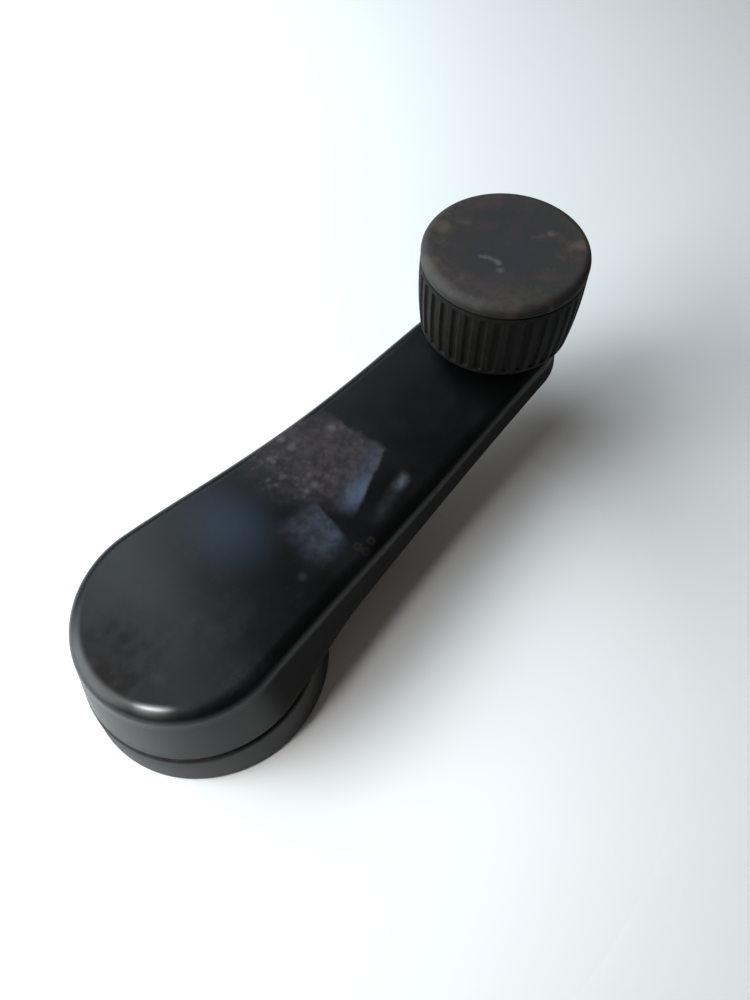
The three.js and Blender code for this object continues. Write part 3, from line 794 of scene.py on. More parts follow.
def arm_finish():
    plastic = Finish(
        "satin_black_plastic", (0.0020, 0.0022, 0.0023), 0.35, Specular_IOR_Level=0.17,
        Coat_Roughness=0.34, Coat_IOR=2.2,
    )
    place = plastic.place
    x, y, z = place.parts()
    share = (x / throw).maths("MAXIMUM", 0.0).maths("MINIMUM", 1.0)
    drop = boss_top - sag * 16 * (share * (1 - share)) ** 2 - z
    on_top = drop.rise(1.2, 0.2)

    # The rolled edge is rubbed smooth, and most of all where the hand slides over the boss.
    cloud = place.noise(0.07, 4)
    fine = place.noise(0.6, 5, 0.6)
    rubbed_smooth = drop.rise(0.2, 0.9) * drop.rise(2.9, 1.4)
    plastic.roughness = (0.27 + cloud * 0.16) * (1 - rubbed_smooth * 0.25)
    from_axis = (x ** 2 + y ** 2) ** 0.5
    round_edge = from_axis.rise(16.6, 17.8) * drop.rise(2.9, 1.6) * x.rise(4.0, -6.0)
    held_edge = spot(x, y, (-14.6, -10.4), 4.2, 3.6)
    window_side = x.rise(-9.0, -16.0) * 0.16
    plastic.polish(round_edge * (window_side + held_edge * drop.rise(1.2, 0.5) * 0.95))
    plastic.coat(cloud.rise(0.4, 0.75) * 0.3, (0.012, 0.0145, 0.016), 0.42)

    # A rubbed scuff in the dip of the arm, with a cluster of pale dots at its far end.
    drift_x = (place.noise(0.35, 3) - 0.5) * 2.4
    drift_y = (place.noise(0.31, 3) - 0.5) * 2.4
    worn_x, worn_y = x + drift_x, y + drift_y
    scuffed = inside_of(
        worn_x, worn_y,
        [(25.5, 4.0), (35.6, -8.0), (48.4, -2.9), (47.0, 11.0), (37.0, 18.5), (27.0, 14.5)],
        [3.2, 0.4, 0.7, 2.6, 2.2, 3.6],
    ) * on_top
    blotches = place.noise(0.45, 3, 0.55).rise(0.34, 0.68)
    dense = 0.4 + x.rise(25.0, 37.0) * 0.6
    plastic.coat(scuffed * dense * (0.4 + blotches * 0.45), (0.043, 0.034, 0.039), 0.55)
    cluster = spot(worn_x, worn_y, (30.0, 11.0), 7.5, 6.0)
    cluster = cluster + spot(worn_x, worn_y, (33.5, 3.0), 6.0, 5.0)
    cluster = (0.25 + cluster * 0.75) * scuffed
    dots = place.specks(0.62).rise(0.62, 0.10) * place.noise(0.42, 2).rise(0.34, 0.60)
    plastic.coat(cluster * dots * 0.5, (0.115, 0.105, 0.108), 0.6)

    # A bluish wedge along the scuff's straight edge.
    edge_gap = half_plane(x, y, (35.4, -7.9), (48.3, -2.7), 0.35)
    wedge = edge_gap * half_plane(x, y, (48.5, 0.2), (34.5, -4.6), 2.4) * scuffed
    corner = spot(x, y, (36.5, -6.6), 8.0, 7.5)
    wedge = wedge * (0.16 + corner * 0.42) * (0.8 + blotches * 0.2)
    plastic.coat(wedge, (0.075, 0.115, 0.185), 0.45)

    # A mottled film of polish residue beside it, and a short pale streak near the side.
    film = inside_of(
        x + drift_x * 0.5, y + drift_y * 0.5,
        [(23.0, -0.3), (21.6, -11.2), (28.9, -10.4), (30.4, -1.8)],
        [3.2, 2.4, 0.5, 1.6],
    ) * on_top
    film_edge = half_plane(x, y, (29.6, -4.0), (26.8, -8.5), 3.0)
    mottled = place.noise(0.6, 2).rise(0.28, 0.70)
    plastic.coat(film * (0.25 + mottled * 0.3), (0.042, 0.043, 0.055), 0.5)
    film_edge = film * (0.10 + film_edge * 0.28) * (0.4 + mottled * 0.6)
    plastic.coat(film_edge, (0.07, 0.095, 0.145), 0.45)
    streak = inside_of(
        worn_x, worn_y, [(35.5, -13.0), (46.8, -10.7), (46.8, -8.6), (35.5, -10.9)],
        [1.0, 0.9, 1.2, 2.4],
    )
    streak = streak * (0.16 + spot(x, y, (44.8, -9.8), 3.2, 3.0) * 0.6) * (0.5 + mottled * 0.5)
    plastic.coat(streak, (0.085, 0.10, 0.115), 0.5)

    # Dried drops: pale dots, and three brown rings where drops have dried from the edge.
    pale_dots = [
        ((45.0, 8.8), 1.5, 0.3), ((36.3, 13.9), 1.3, 0.3), ((36.3, 11.0), 1.3, 0.28),
        ((33.2, 1.6), 1.4, 0.28), ((31.3, 1.7), 1.2, 0.28), ((18.0, -10.8), 1.4, 0.09),
    ]
    for centre, radius, strength in pale_dots:
        mark = spot(x, y, centre, radius, radius) * fine.rise(0.2, 0.5)
        plastic.coat(mark * strength, (0.17, 0.16, 0.155), 0.6)
    for centre in ((29.1, -13.5), (31.6, -14.5), (29.4, -15.2)):
        ring = spot(x, y, centre, 1.1, 0.5) * (1 - spot(x, y, centre, 0.7, 0.6) * 0.7)
        plastic.coat(ring * 0.13, (0.075, 0.050, 0.038), 0.6)

    # The boss has gone dull, with a brown haze, two smudges and a grey bloom, and the top next
    # to it has a painted bluish reflection.
    plastic.coat(x.rise(-1.0, -17.0) * on_top * 0.45, (0.0032, 0.0033, 0.0034), 0.8)
    haze = spot(worn_x, worn_y, (-13.2, 0.6), 11.0, 7.0) * on_top
    dulled = place.noise(0.3, 4).rise(0.33, 0.64)
    plastic.coat(haze * (0.25 + dulled * 0.5), (0.0090, 0.0056, 0.0046), 0.85)
    for centre in ((-16.4, 3.2), (-10.8, -6.6)):
        smudge = spot(worn_x, worn_y, centre, 1.8, 1.8) * on_top
        plastic.coat(smudge * 0.14, (0.07, 0.06, 0.066), 0.5)
    bloom = place.noise(0.13, 3).rise(0.42, 0.66) * place.noise(0.4, 3).rise(0.3, 0.7)
    plastic.coat(bloom * on_top * x.rise(16, -4) * 0.35, (0.018, 0.019, 0.021), 0.55)
    # Painted reflection: a bluish sheen painted on the top beside the boss.
    painted_blue_reflection = spot(x, y * 0.8, (15.8, 4.6), 11.0, 11.0) * on_top
    plastic.coat(painted_blue_reflection * 0.62, (0.019, 0.032, 0.054), 0.36)

    # The side away from the window is painted a dull brown shade, dust lies low on the skirt, and
    # specks and scratches are all over.
    # Painted shade: the wall away from the window gets a dull brown that stands in for its shade
    # and dark reflection.
    painted_shade_side = y.rise(-4.0, -12.0) * x.rise(-4.0, 3.5) * drop.rise(2.2, 4.0)
    plastic.coat(painted_shade_side * 0.85, (0.0048, 0.0032, 0.0023), 0.9)
    low_dust = z.rise(boss_foot + 3.0, boss_foot) * fine.rise(0.3, 0.7)
    plastic.coat(low_dust * 0.35, (0.055, 0.047, 0.038), 0.8)
    specks = place.specks(1.4).rise(0.15, 0.06) * place.noise(0.25).rise(0.48, 0.62)
    plastic.coat(specks * 0.22, (0.09, 0.085, 0.078), 0.8)
    scratches = place.stretched((0.25, 3.2, 0.25)).noise(1.4, 5, 0.7).rise(0.62, 0.70)
    plastic.coat(scratches * cloud.rise(0.4, 0.6) * 0.16, (0.06, 0.062, 0.065), 0.5)
    plastic.emboss(place.noise(6.0, 2) * 0.006 + fine * 0.014 - scratches * 0.006)
    plastic.emboss(scuffed * blotches * 0.03)
    return plastic.done()


def crank_arm():
    finish = arm_finish()
    shell = bmesh.new()
    arm_skin(shell, arm_shell_loops())
    arm = joined_piece("visual_crank_arm", shell, finish, crease=30)

    hollow = bmesh.new()
    arm_skin(hollow, [
        arm_loop(lambda x: -arm_wall / 2, lambda x: arm_foot(x) + rib_foot_lift),
        arm_loop(lambda x: -arm_wall / 2, lambda x: arm_top(x) - arm_roof / 2),
    ])
    room = joined_piece("rib_room", hollow, finish)
    tip_boss_foot = washer_high.z + fit_gap
    rivet_room = disc_profile(tip_boss_radius - web_root, 0, tip_boss_foot)
    shaped(room, turned("rivet_room", rivet_room, finish, throw), "DIFFERENCE")
    untrimmed_width, untrimmed_depth = 60, 100
    worked(
        arm, arm_ribs_tree(), finish, room=room, cross_count=cross_rib_count,
        first=first_cross_rib * mm, last=last_cross_rib * mm, thickness=rib_thickness * mm,
        width=untrimmed_width * mm, depth=untrimmed_depth * mm, lengthwise=long_rib_offset * mm,
        length=throw * mm, spoke_count=spoke_count, spoke_length=boss_radius * mm,
        spoke_turn=spoke_turn, spoke_step=spoke_step,
    )
    bpy.data.objects.remove(room)

    hub_foot, hub_head = arm_low.z, boss_top - arm_roof / 2
    hub = rounded([
        (0, hub_foot, 0), (hub_radius, hub_foot, 0.5), (hub_radius, hub_head, 0), (0, hub_head, 0),
    ])
    shaped(arm, turned("hub", hub, finish, segments=120), "UNION")
    tip_boss = disc_profile(tip_boss_radius, tip_boss_foot, tip_top - arm_roof / 2)
    shaped(arm, turned("tip_boss", tip_boss, finish, throw), "UNION")

    seat = disc_profile(insert_high.y + fit_gap, 0, insert_high.z + fit_gap)
    seat = turned("seat", seat, finish, segments=120)
    flat = insert_high.x + fit_gap
    low, high = (-flat, -past_the_hub, -1), (flat, past_the_hub, insert_high.z + 1)
    shaped(seat, brick("flats", low, high, finish), "INTERSECT")
    shaped(arm, seat, "DIFFERENCE")
    spindle_hole = disc_profile(spindle_hole_radius, 0, tip_top + 1)
    shaped(arm, turned("spindle_hole", spindle_hole, finish, throw, 48), "DIFFERENCE")
    slot_overrun = 0.75
    cut_clip_slots(arm, hub_radius + slot_overrun, finish)
    cleaned(arm)
    smoothed(arm, 30)
    fitted(arm, "crank_arm", "crank")


crank_arm()


# ======================================================================================
# Splined insert: a zinc alloy casting moulded into the hub. Its toothed bore slides on the
# regulator's shaft, two flats keep it from turning, and two slots let the clip reach the shaft.
# ======================================================================================

spline_count, spline_root, spline_crest, socket_chamfer = 24, 5.6, 5.1, 0.7
insert_end = 2.3


def fluting_tree():
    """Moves the points of a radial band in or out, so that teeth run round an axis."""
    sheet, given = new_tree(
        "fluting", count="Int", share="Float", softness="Float", depth="Float", inner="Float",
        outer="Float", low="Float", high="Float", fade="Float", axis_x="Float",
    )
    x, y, z = sheet.add("GeometryNodeInputPosition").parts()
    x = x - given["axis_x"]
    radius = (x ** 2 + y ** 2) ** 0.5
    edge = (given["share"] * math.pi).maths("COSINE")
    wave = (y.maths("ARCTAN2", x) * given["count"]).maths("COSINE")
    tooth = wave.rise(edge - given["softness"], edge + given["softness"])
    window = z.rise(given["low"] - given["fade"], given["low"] + given["fade"])
    window = window * z.rise(given["high"] + given["fade"], given["high"] - given["fade"])
    in_band = radius.maths("GREATER_THAN", given["inner"])
    in_band = in_band * radius.maths("LESS_THAN", given["outer"])
    push = (1 - tooth) * window * in_band * given["depth"] / radius
    shift = sheet.add("ShaderNodeCombineXYZ", None, {0: x * push, 1: y * push})
    moved = sheet.add("GeometryNodeSetPosition", None, {
        "Geometry": given["body"], "Offset": shift,
    })
    return close_tree(sheet, moved, given["finish"])


def metal_finish(name, colour, roughness, brush, stain):
    """Bare metal with a brushed or turned grain, a little tarnish and fine pits."""
    metal = Finish(name, colour, roughness, Metallic=1.0)
    streaks = metal.place.stretched(brush).noise(1.5, 4, 0.6)
    cloud = metal.place.noise(0.35, 4)
    pits = metal.place.specks(1.7).rise(0.18, 0.05)
    metal.roughness = roughness + (streaks - 0.5) * 0.16 + cloud.rise(0.4, 0.8) * 0.12
    metal.coat(cloud.rise(0.48, 0.75) * 0.6, stain, roughness + 0.2)
    metal.coat(pits * 0.5, tuple(0.5 * part for part in stain), 0.7)
    metal.emboss(streaks * 0.012 - pits * 0.02)
    return metal.done()


fluting = fluting_tree()


def splined_insert():
    finish = metal_finish("zinc_alloy", (0.42, 0.43, 0.43), 0.42, (1, 1, 1), (0.22, 0.215, 0.20))
    foot, head = insert_low.z, insert_high.z
    bore_top = head - insert_end
    teeth_low, teeth_high = foot + 2 * socket_chamfer, bore_top - 0.4
    levels = [between(teeth_low, teeth_high, i / 6) for i in range(1, 6)]
    levels = [teeth_low, teeth_low + 0.3, *levels, teeth_high - 0.3, teeth_high]
    outside = rounded([(0, head, 0), (insert_high.y, head, 0.4), (insert_high.y, foot, 0.3)])
    mouth = [(spline_root + socket_chamfer, foot)]
    bore = [(spline_crest, level) for level in levels]
    bore_end = [(spline_crest - 0.5, bore_top), (0, bore_top)]
    profile = outside + mouth + bore + bore_end
    insert = turned("visual_splined_insert", profile, finish, segments=288)
    worked(
        insert, fluting, finish, count=spline_count, share=0.5, softness=0.5,
        depth=(spline_root - spline_crest) * mm, inner=(spline_crest - 0.05) * mm,
        outer=(spline_crest + 0.05) * mm, low=teeth_low * mm, high=teeth_high * mm,
        fade=0.15 * mm, axis_x=0.0,
    )
    low, high = (-insert_high.x, -past_the_hub, 0), (insert_high.x, past_the_hub, 30)
    shaped(insert, brick("flats", low, high, finish), "INTERSECT")
    cut_clip_slots(insert, past_the_hub, finish)
    smoothed(insert)
    fitted(insert, "splined_insert", "crank")


splined_insert()


# ======================================================================================
# Retaining clip: a horseshoe of spring wire. Its legs lie in the hub's slots and snap into the
# groove of the shaft; pushing their flared ends towards the bow sets the shaft free.
# ======================================================================================

def wire_piece(name, path, radius, finish, around=20):
    """Round wire along a flat path, with rounded ends."""
    first, last = Vector(path[0]), Vector(path[-1])
    into_first = (first - Vector(path[1])).normalized()
    into_last = (last - Vector(path[-2])).normalized()
    cap_turns = [math.pi / 2 * step / 6 for step in range(1, 6)]
    stations = []
    for turn in cap_turns:
        centre = first + into_first * radius * math.cos(turn)
        stations.append((centre, into_first, math.sin(turn)))
    for i, point in enumerate(path):
        before, after = Vector(path[max(i - 1, 0)]), Vector(path[min(i + 1, len(path) - 1)])
        stations.append((Vector(point), (before - after).normalized(), 1.0))
    for turn in reversed(cap_turns):
        centre = last + into_last * radius * math.cos(turn)
        stations.append((centre, -into_last, math.sin(turn)))

    work = bmesh.new()
    rows = []
    for centre, along, share in stations:
        sideways = Vector((-along.y, along.x, 0)) * radius * share
        upwards = Vector((0, 0, radius * share))
        rows.append([
            work.verts.new(centre + sideways * math.cos(turn) + upwards * math.sin(turn))
            for turn in full_turn(around)
        ])
    for here, there in zip(rows, rows[1:]):
        for i in range(around):
            j = (i + 1) % around
            work.faces.new((here[i], here[j], there[j], there[i]))
    for row, end, into in ((rows[0], first, into_first), (rows[-1], last, into_last)):
        tip = work.verts.new(end + into * radius)
        for i in range(around):
            work.faces.new((row[i], row[(i + 1) % around], tip))
    return joined_piece(name, work, finish, crease=50)


def bent_path(corners, radii, steps=8):
    """A flat route through the corners, with each inner corner bent to a radius."""
    route = [Vector(corners[0])]
    for before, corner, after, radius in zip(corners, corners[1:], corners[2:], radii):
        before, corner, after = Vector(before), Vector(corner), Vector(after)
        start = corner + (before - corner).normalized() * radius
        end = corner + (after - corner).normalized() * radius
        route.extend(bend(start, corner, end, steps))
    return route + [Vector(corners[-1])]


def retaining_clip():
    finish = metal_finish(
        "clip_spring_steel", (0.26, 0.265, 0.28), 0.34, (0.4, 4, 4), (0.13, 0.105, 0.075)
    )
    wire = (clip_high.z - clip_low.z) / 2
    leg_end = (clip_high.x - wire, clip_high.y - wire)
    flare_start = leg_end[0] - (leg_end[1] - clip_leg)
    bow_depth, bow_steps = 3.2, 30
    bow_start = clip_low.x + wire + bow_depth
    corners = [leg_end, (flare_start, clip_leg), (bow_start, clip_leg)]
    legs = bent_path([(*corner, clip_height) for corner in corners], [1.2])
    bow = []
    for step in range(1, bow_steps):
        turn = math.pi / 2 + math.pi * step / bow_steps
        bow.append(Vector((
            bow_start + bow_depth * math.cos(turn), clip_leg * math.sin(turn), clip_height
        )))
    lower = [Vector((point.x, -point.y, point.z)) for point in reversed(legs)]
    clip = wire_piece("visual_retaining_clip", legs + bow + lower, wire, finish)
    fitted(clip, "retaining_clip", "clip")


retaining_clip()


# ======================================================================================
# Knob spindle: a shouldered pin turned from bright steel. Its flange stands on the arm and its
# thin end goes through the arm's tip and is riveted over below.
# ======================================================================================

spindle_low, spindle_high = box_mm("knob_spindle")
bush_low, bush_high = box_mm("knob_bush")
journal_radius, stem_radius, neck_radius = 3.6, 3.0, 2.6


def knob_spindle():
    finish = metal_finish(
        "spindle_bright_steel", (0.50, 0.50, 0.49), 0.28, (0.3, 0.3, 5), (0.28, 0.25, 0.21)
    )
    flange_low = tip_top + fit_gap
    flange_high = flange_low + 1.2
    rivet_high = spindle_low.z + 1.4
    journal_top = bush_high.z + 0.15
    rivet_radius, dome_height = 4.8, 0.8
    dome = [
        (rivet_radius * math.sin(turn), spindle_low.z + dome_height * (1 - math.cos(turn)))
        for turn in (math.pi / 2 * i / 8 for i in range(9))
    ]
    profile = dome + rounded([
        (rivet_radius, rivet_high, 0.2),
        (stem_radius, rivet_high, 0),
        (stem_radius, flange_low, 0),
        (spindle_high.y, flange_low, 0.2),
        (spindle_high.y, flange_high, 0.3),
        (journal_radius, flange_high, 0.2),
        (journal_radius, journal_top, 0.3),
        (neck_radius, journal_top, 0.1),
        (neck_radius, spindle_high.z, 0.4),
        (0, spindle_high.z, 0),
    ])
    spindle = turned("visual_knob_spindle", profile, finish, throw, segments=72)
    fitted(spindle, "knob_spindle", "crank")


knob_spindle()


# ======================================================================================
# Backing washer: a punched steel washer between the riveted head and the plastic arm. One edge
# is rolled by the punch and the other is sharp.
# ======================================================================================

def backing_washer():
    finish = metal_finish(
        "washer_bright_steel", (0.46, 0.46, 0.45), 0.36, (1.2, 1.2, 1.2), (0.24, 0.20, 0.15)
    )
    profile = flat_ring(
        stem_radius + fit_gap, washer_high.y, washer_low.z, washer_high.z,
        (0.25, 0.35, 0.08, 0.08),
    )
    washer = turned("visual_backing_washer", profile, finish, throw, segments=72)
    fitted(washer, "backing_washer", "crank")


backing_washer()


# ======================================================================================
# Thrust washer: a slippery disc of white plastic between the spindle's flange and the knob. It
# lies loose round the journal, with a film of grease.
# ======================================================================================

def white_finish(name):
    plastic = Finish(name, (0.60, 0.575, 0.52), 0.45, Subsurface_Weight=0.1, Subsurface_Scale=0.001)
    cloud = plastic.place.noise(0.4, 4)
    plastic.roughness = 0.38 + cloud * 0.2
    plastic.coat(cloud.rise(0.4, 0.8) * 0.5, (0.46, 0.41, 0.32), 0.6)
    grease = plastic.place.noise(0.9, 4, 0.6).rise(0.58, 0.75)
    plastic.coat(grease * 0.45, (0.20, 0.165, 0.12), 0.3)
    plastic.emboss(plastic.place.noise(3.0, 3) * 0.015)
    return plastic.done()


def thrust_washer():
    low, high = box_mm("thrust_washer")
    profile = flat_ring(
        journal_radius + fit_gap, high.y, low.z, high.z, (0.15, 0.3, 0.3, 0.15)
    )
    finish = white_finish("thrust_white_plastic")
    washer = turned("visual_thrust_washer", profile, finish, throw, segments=96)
    fitted(washer, "thrust_washer", "crank")


thrust_washer()


# ======================================================================================
# Knob bush: a white plastic bearing pressed into the knob. It runs on the spindle's journal and
# has chamfered mouths.
# ======================================================================================

def knob_bush():
    oil_gap = 0.1
    profile = flat_ring(
        journal_radius + oil_gap, bush_high.y, bush_low.z, bush_high.z, (0.3, 0.25, 0.25, 0.3)
    )
    finish = white_finish("bush_white_plastic")
    bush = turned("visual_knob_bush", profile, finish, throw, segments=72)
    fitted(bush, "knob_bush", "knob")


knob_bush()


# ======================================================================================
# Wave washer: a thin spring washer with three waves. It presses the knob down lightly so that
# it does not rattle.
# ======================================================================================

def spring_finish(name):
    return metal_finish(name, (0.24, 0.245, 0.26), 0.32, (2, 2, 2), (0.12, 0.10, 0.085))


def wave_washer():
    low, high = box_mm("wave_washer")
    thickness, wave_count = 0.5, 3
    height = high.z - low.z - thickness
    profile = flat_ring(
        neck_radius + fit_gap, high.y, low.z, low.z + thickness, (0.08, 0.12, 0.12, 0.08), steps=2
    )
    finish = spring_finish("wave_spring_steel")
    washer = turned("visual_wave_washer", profile, finish, throw, segments=120)
    for vertex in washer.data.vertices:
        turn = math.atan2(vertex.co.y, vertex.co.x - throw * mm)
        vertex.co.z += height * mm / 2 * (1 + math.cos(wave_count * turn))
    smoothed(washer)
    fitted(washer, "wave_washer", "crank")


wave_washer()


# ======================================================================================
# Spindle retainer: a pressed ring of spring steel whose slotted inner edge bites into the neck
# of the spindle and holds the knob on.
# ======================================================================================

def spindle_retainer():
    low, high = box_mm("spindle_retainer")
    finish = spring_finish("retainer_spring_steel")
    profile = flat_ring(neck_radius + fit_gap, high.y, low.z, high.z, (0.15, 0.2, 0.2, 0.15))
    retainer = turned("visual_spindle_retainer", profile, finish, throw, segments=72)
    worked(
        retainer, spokes_tree("DIFFERENCE"), finish, count=6, thickness=0.8 * mm, inner=0.0,
        outer=between(neck_radius, high.y, 0.55) * mm, low=(low.z - 1) * mm,
        high=(high.z + 1) * mm, axis_x=throw * mm,
    )
    fitted(retainer, "spindle_retainer", "crank")


spindle_retainer()


# ======================================================================================
# Knob barrel: the ribbed side of the knob, moulded in dark grey plastic that hands have worn
# dull. Inside, six webs carry the hub that the bush is pressed into.
# ======================================================================================

barrel_low, barrel_high = box_mm("knob_barrel")
cap_low, cap_high = box_mm("knob_cap")
knob_foot, knob_top = barrel_low.z, cap_high.z
cap_radius = cap_high.y
cap_foot = barrel_high.z + fit_gap
knob_foot_radius, knob_bulge = 15.3, 0.34
rib_count, grip_depth, knob_wall = 36, 0.5, 1.9
knob_inner = knob_foot_radius - grip_depth - knob_wall
bush_seat, knob_hub_radius, knob_floor = 5.2, 7.0, 2.0


def knob_radius(z):
    share = (z - knob_foot) / (cap_foot - knob_foot)
    bulge = knob_bulge * 4 * share * (1 - share)
    return between(knob_foot_radius, cap_radius, share) + bulge


class KnobPlastic(Finish):
    """Dull dark plastic, with the places and clouds that the knob's two parts are painted by."""

    def __init__(self, name, colour, specular):
        super().__init__(name, colour, 0.6, Specular_IOR_Level=specular)
        x, self.y, self.z = self.place.parts()
        self.x = x - throw
        # lit_side is 1 on the side that faces the left window; the knob's paints use it for painted
        # light and painted shade.
        self.lit_side = (self.x * 0.69 - self.y * 0.72).rise(8.0, -12.0)
        self.cloud = self.place.noise(0.16, 4, 0.6)
        self.fine = self.place.noise(0.8, 5, 0.65)
        self.roughness = 0.5 + self.cloud * 0.2

    def aged(self, speck_share):
        """Ends the finish with pale specks and the grain of the moulding."""
        patchy = self.place.noise(0.3).rise(0.45, 0.6)
        specks = self.place.specks(1.3).rise(0.16, 0.06) * patchy
        self.coat(specks * speck_share, (0.13, 0.115, 0.095), 0.85)
        self.emboss(self.fine * 0.03 + self.place.noise(5.0, 2) * 0.012)
        return self.done()


def barrel_finish():
    """Nearly black, with painted light on the ribs on the side facing the window, and dust between
    them.
    """
    plastic = KnobPlastic("barrel_worn_grey_plastic", (0.0036, 0.0034, 0.0029), 0.12)
    lit_side, cloud, fine = plastic.lit_side, plastic.cloud, plastic.fine
    rib_wave = (plastic.y.maths("ARCTAN2", plastic.x) * rib_count).maths("COSINE")
    # Painted light: the ribs on the lit side are painted lighter.
    lit_rib_sheen = lit_side * (0.3 + cloud.rise(0.4, 0.75) * 0.6)
    plastic.coat(lit_rib_sheen, (0.014, 0.0135, 0.0115), 0.6)
    groove = rib_wave.rise(0.1, -0.6) * (0.15 + fine.rise(0.35, 0.65) * 0.3)
    plastic.coat(groove, (0.014, 0.0125, 0.0095), 0.8)
    # Painted highlight on the crests of the ribs, on the lit side only.
    crest = rib_wave.rise(0.5, 0.95) * fine.rise(0.4, 0.65)
    plastic.coat(crest * lit_side * 0.4, (0.016, 0.0155, 0.014), 0.42)
    # Pale dust on the foot, painted only on the lit side, so it is partly dust and partly painted
    # light.
    lip_dust_and_light = plastic.z.rise(knob_foot + 1.6, knob_foot + 0.3) * fine.rise(0.3, 0.7)
    plastic.coat(lip_dust_and_light * lit_side * 0.4, (0.028, 0.025, 0.021), 0.8)
    return plastic.aged(0.25)


def knob_barrel():
    finish = barrel_finish()
    lip, band = 1.3, 1.0
    rib_low, rib_high = knob_foot + lip, barrel_high.z - band
    # Close rows of points where the ribs start and end, so that they run out softly.
    close_levels = (-0.35, -0.12, 0.12, 0.35)
    side = [rib_low + level for level in close_levels]
    side += [between(rib_low, rib_high, i / 8) for i in range(1, 8)]
    side += [rib_high + level for level in close_levels]
    # Only the rounded foot of this run is kept; its first corner and its end come from the rest.
    foot_rounding, corner_points = 0.8, 5
    foot_radius = knob_radius(knob_foot + foot_rounding)
    foot_run = rounded([
        (bush_seat, knob_foot, 0.3), (foot_radius, knob_foot, foot_rounding),
        (foot_radius, knob_foot + knob_floor, 0),
    ])
    outside = foot_run[corner_points:-1] + [(knob_radius(z), z) for z in side]
    inside = rounded([
        (knob_radius(barrel_high.z), barrel_high.z, 0.2),
        (knob_inner, barrel_high.z, 0.2),
        (knob_inner, knob_foot + knob_floor, 0.5),
        (knob_hub_radius, knob_foot + knob_floor, 0.4),
        (knob_hub_radius, bush_high.z, 0.2),
        (bush_seat, bush_high.z, 0.2),
        (bush_seat, knob_foot, 0.3),
    ])
    barrel = turned("visual_knob_barrel", outside + inside, finish, throw, segments=576)
    worked(
        barrel, fluting, finish, count=rib_count, share=0.56, softness=0.6, depth=-grip_depth * mm,
        inner=(knob_foot_radius - 0.3) * mm, outer=(cap_radius + 1) * mm, low=rib_low * mm,
        high=rib_high * mm, fade=0.2 * mm, axis_x=throw * mm,
    )
    worked(
        barrel, spokes_joined, finish, count=web_count, thickness=1.3 * mm,
        inner=(knob_hub_radius - 0.3) * mm, outer=(knob_inner + web_root) * mm,
        low=(knob_foot + 1.6) * mm, high=bush_high.z * mm, axis_x=throw * mm,
    )
    fitted(barrel, "knob_barrel", "knob")


knob_barrel()
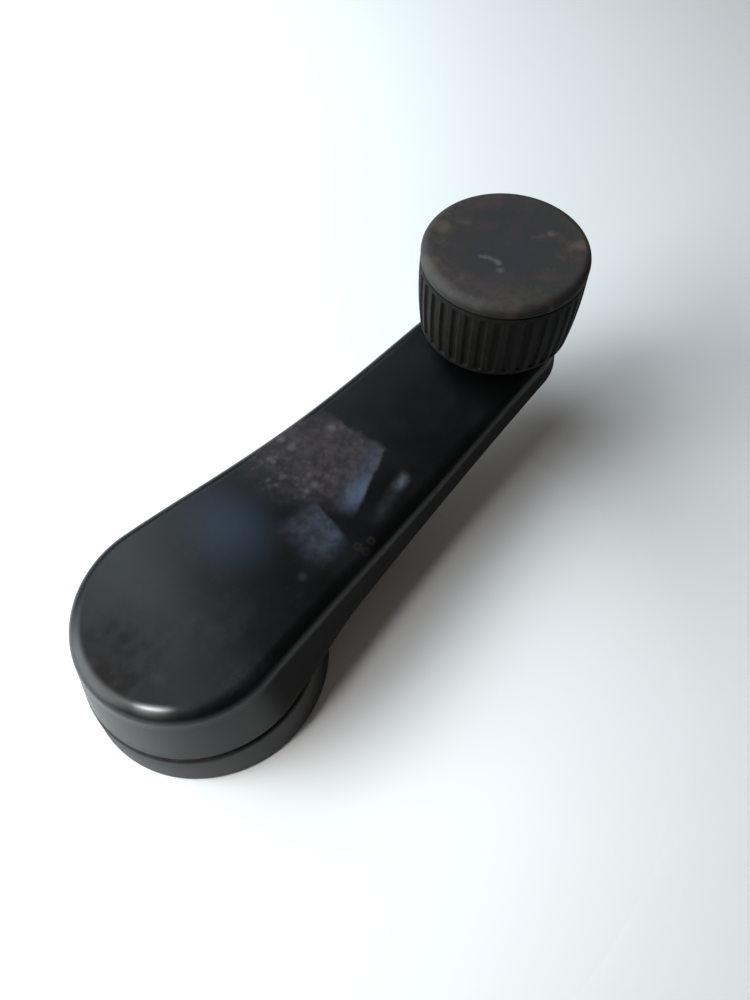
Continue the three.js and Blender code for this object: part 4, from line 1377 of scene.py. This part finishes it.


# ======================================================================================
# Knob cap: a slightly hollow disc of the same plastic with a rounded rim, plugged into the
# barrel. Its skirt is hidden; dust has settled towards the rim, the middle is rubbed smooth
# and has a painted bluish reflection, and the rim has painted light and shade.
# ======================================================================================

def cap_finish():
    """Dark grey, dusty towards the rim, with tan stains, a small scuff near the middle, a painted
    reflection in the middle and painted light and shade on the rim.
    """
    plastic = KnobPlastic("cap_worn_grey_plastic", (0.036, 0.034, 0.034), 0.16)
    place, x, y, z = plastic.place, plastic.x, plastic.y, plastic.z
    lit_side, cloud, fine = plastic.lit_side, plastic.cloud, plastic.fine
    radius = (x ** 2 + y ** 2) ** 0.5
    worn_x = x + (place.noise(0.3, 3) - 0.5) * 4
    worn_y = y + (place.noise(0.27, 3) - 0.5) * 4

    # The middle is rubbed smooth, in mauve greys, with a painted bluish reflection in its centre.
    plastic.coat(cloud.rise(0.35, 0.7) * 0.6, (0.042, 0.037, 0.036), 0.7)
    mauve = place.noise(0.13, 3).rise(0.45, 0.62)
    plastic.coat(mauve * 0.7, (0.054, 0.039, 0.044), 0.65)
    # Painted reflection: the bluish spot in the middle stands in for the reflection of the light
    # above.
    centre = spot(worn_x, worn_y, (-1.5, -2.0), 9.0, 6.0)
    plastic.coat(centre * (0.45 + fine.rise(0.35, 0.65) * 0.25), (0.032, 0.035, 0.043), 0.5)

    # Dust lies towards the rim, painted stronger on the lit side; the rolled edge has a painted
    # highlight on the lit side and painted shade elsewhere, darkest low on the rim.
    # Dust towards the rim, partly painted light: it is stronger on the lit side.
    dust_and_light_ring = radius.rise(9.0, 14.0) * z.rise(knob_top - 3.0, knob_top - 0.8)
    dust_and_light_ring = dust_and_light_ring * (0.35 + lit_side * 0.65)
    plastic.coat(dust_and_light_ring * fine.rise(0.34, 0.66) * 0.5, (0.070, 0.060, 0.051), 0.8)
    # Painted highlight along the top of the rim on the lit side.
    painted_rim_highlight = lit_side * z.rise(knob_top - 0.3, knob_top - 1.0)
    plastic.coat(painted_rim_highlight * 0.6, (0.040, 0.045, 0.042), 0.5)
    # Painted shade on the rim away from the lit side.
    rim_shade = z.rise(knob_top - 0.5, knob_top - 1.4) * (1 - lit_side)
    plastic.coat(rim_shade * 0.85, (0.010, 0.009, 0.008), 0.7)
    # Painted shade low on the rim, half as strong on the lit side.
    painted_low_rim_shade = z.rise(knob_top - 0.9, knob_top - 2.2) * (1 - lit_side * 0.5)
    plastic.coat(painted_low_rim_shade * 0.75, (0.008, 0.007, 0.006), 0.7)
    front_dust = spot(worn_x, worn_y, (-10.5, -8.5), 7.0, 5.0) * z.rise(knob_top - 3.0, knob_top)
    plastic.coat(front_dust * (0.1 + fine.rise(0.35, 0.6) * 0.25), (0.066, 0.057, 0.048), 0.75)

    # Tan stains where the sun has bleached it, and a few scuffs in a curved row.
    tan_patch = place.noise(0.22, 3, 0.6).rise(0.50, 0.68)
    plastic.coat(dust_and_light_ring * tan_patch * 0.4, (0.105, 0.080, 0.058), 0.8)
    sunned = radius.rise(5.0, 12.0) * tan_patch * (1 - lit_side)
    plastic.coat(sunned * 0.45, (0.080, 0.058, 0.046), 0.75)
    tan_spots = [
        ((8.5, -4.0), 1.8, 0.6), ((9.2, -10.3), 2.6, 0.7), ((6.2, -3.1), 1.6, 0.3),
        ((-3.8, 12.1), 2.4, 0.5), ((0.5, 9.8), 1.6, 0.3),
    ]
    for centre, size, strength in tan_spots:
        mark = spot(worn_x, worn_y, centre, size, size) * (0.5 + fine * 0.5)
        plastic.coat(mark * strength, (0.16, 0.118, 0.078), 0.8)
    scuff_spots = [
        ((-5.3, 1.9), 0.8, 0.3), ((-4.8, 1.2), 0.9, 0.4), ((-4.4, 0.3), 0.9, 0.35),
        ((-4.2, -0.7), 0.9, 0.4), ((-4.4, -1.6), 1.0, 0.45), ((-5.8, -3.0), 1.2, 0.3),
    ]
    for centre, size, strength in scuff_spots:
        mark = spot(x, y, centre, size, size) * (0.6 + fine * 0.4)
        plastic.coat(mark * strength, (0.21, 0.205, 0.205), 0.6)
    return plastic.aged(0.5)


def knob_cap():
    finish = cap_finish()
    rounding, dish = 1.6, 0.35
    edge = cap_radius - rounding
    plug = knob_inner - fit_gap
    plate_low = knob_top - dish - 2.0
    rim = [
        (cap_radius - rounding * out, knob_top - rounding * down)
        for out, down in arc_steps(10)
    ]
    dished = [
        (edge * share, knob_top - dish * (1 - share * share))
        for share in (0.96, 0.85, 0.7, 0.55, 0.4, 0.25, 0.1, 0)
    ]
    under = [
        (0, plate_low), (plug - 1.3, plate_low), (plug - 1.3, cap_low.z), (plug - 0.15, cap_low.z),
        (plug, cap_low.z + 0.3), (plug, cap_foot), (cap_radius - 0.25, cap_foot),
        (cap_radius - 0.06, cap_foot + 0.06), (cap_radius, cap_foot + 0.25),
    ]
    cap = turned("visual_knob_cap", under + rim + dished, finish, throw, segments=192)
    fitted(cap, "knob_cap", "knob")


knob_cap()
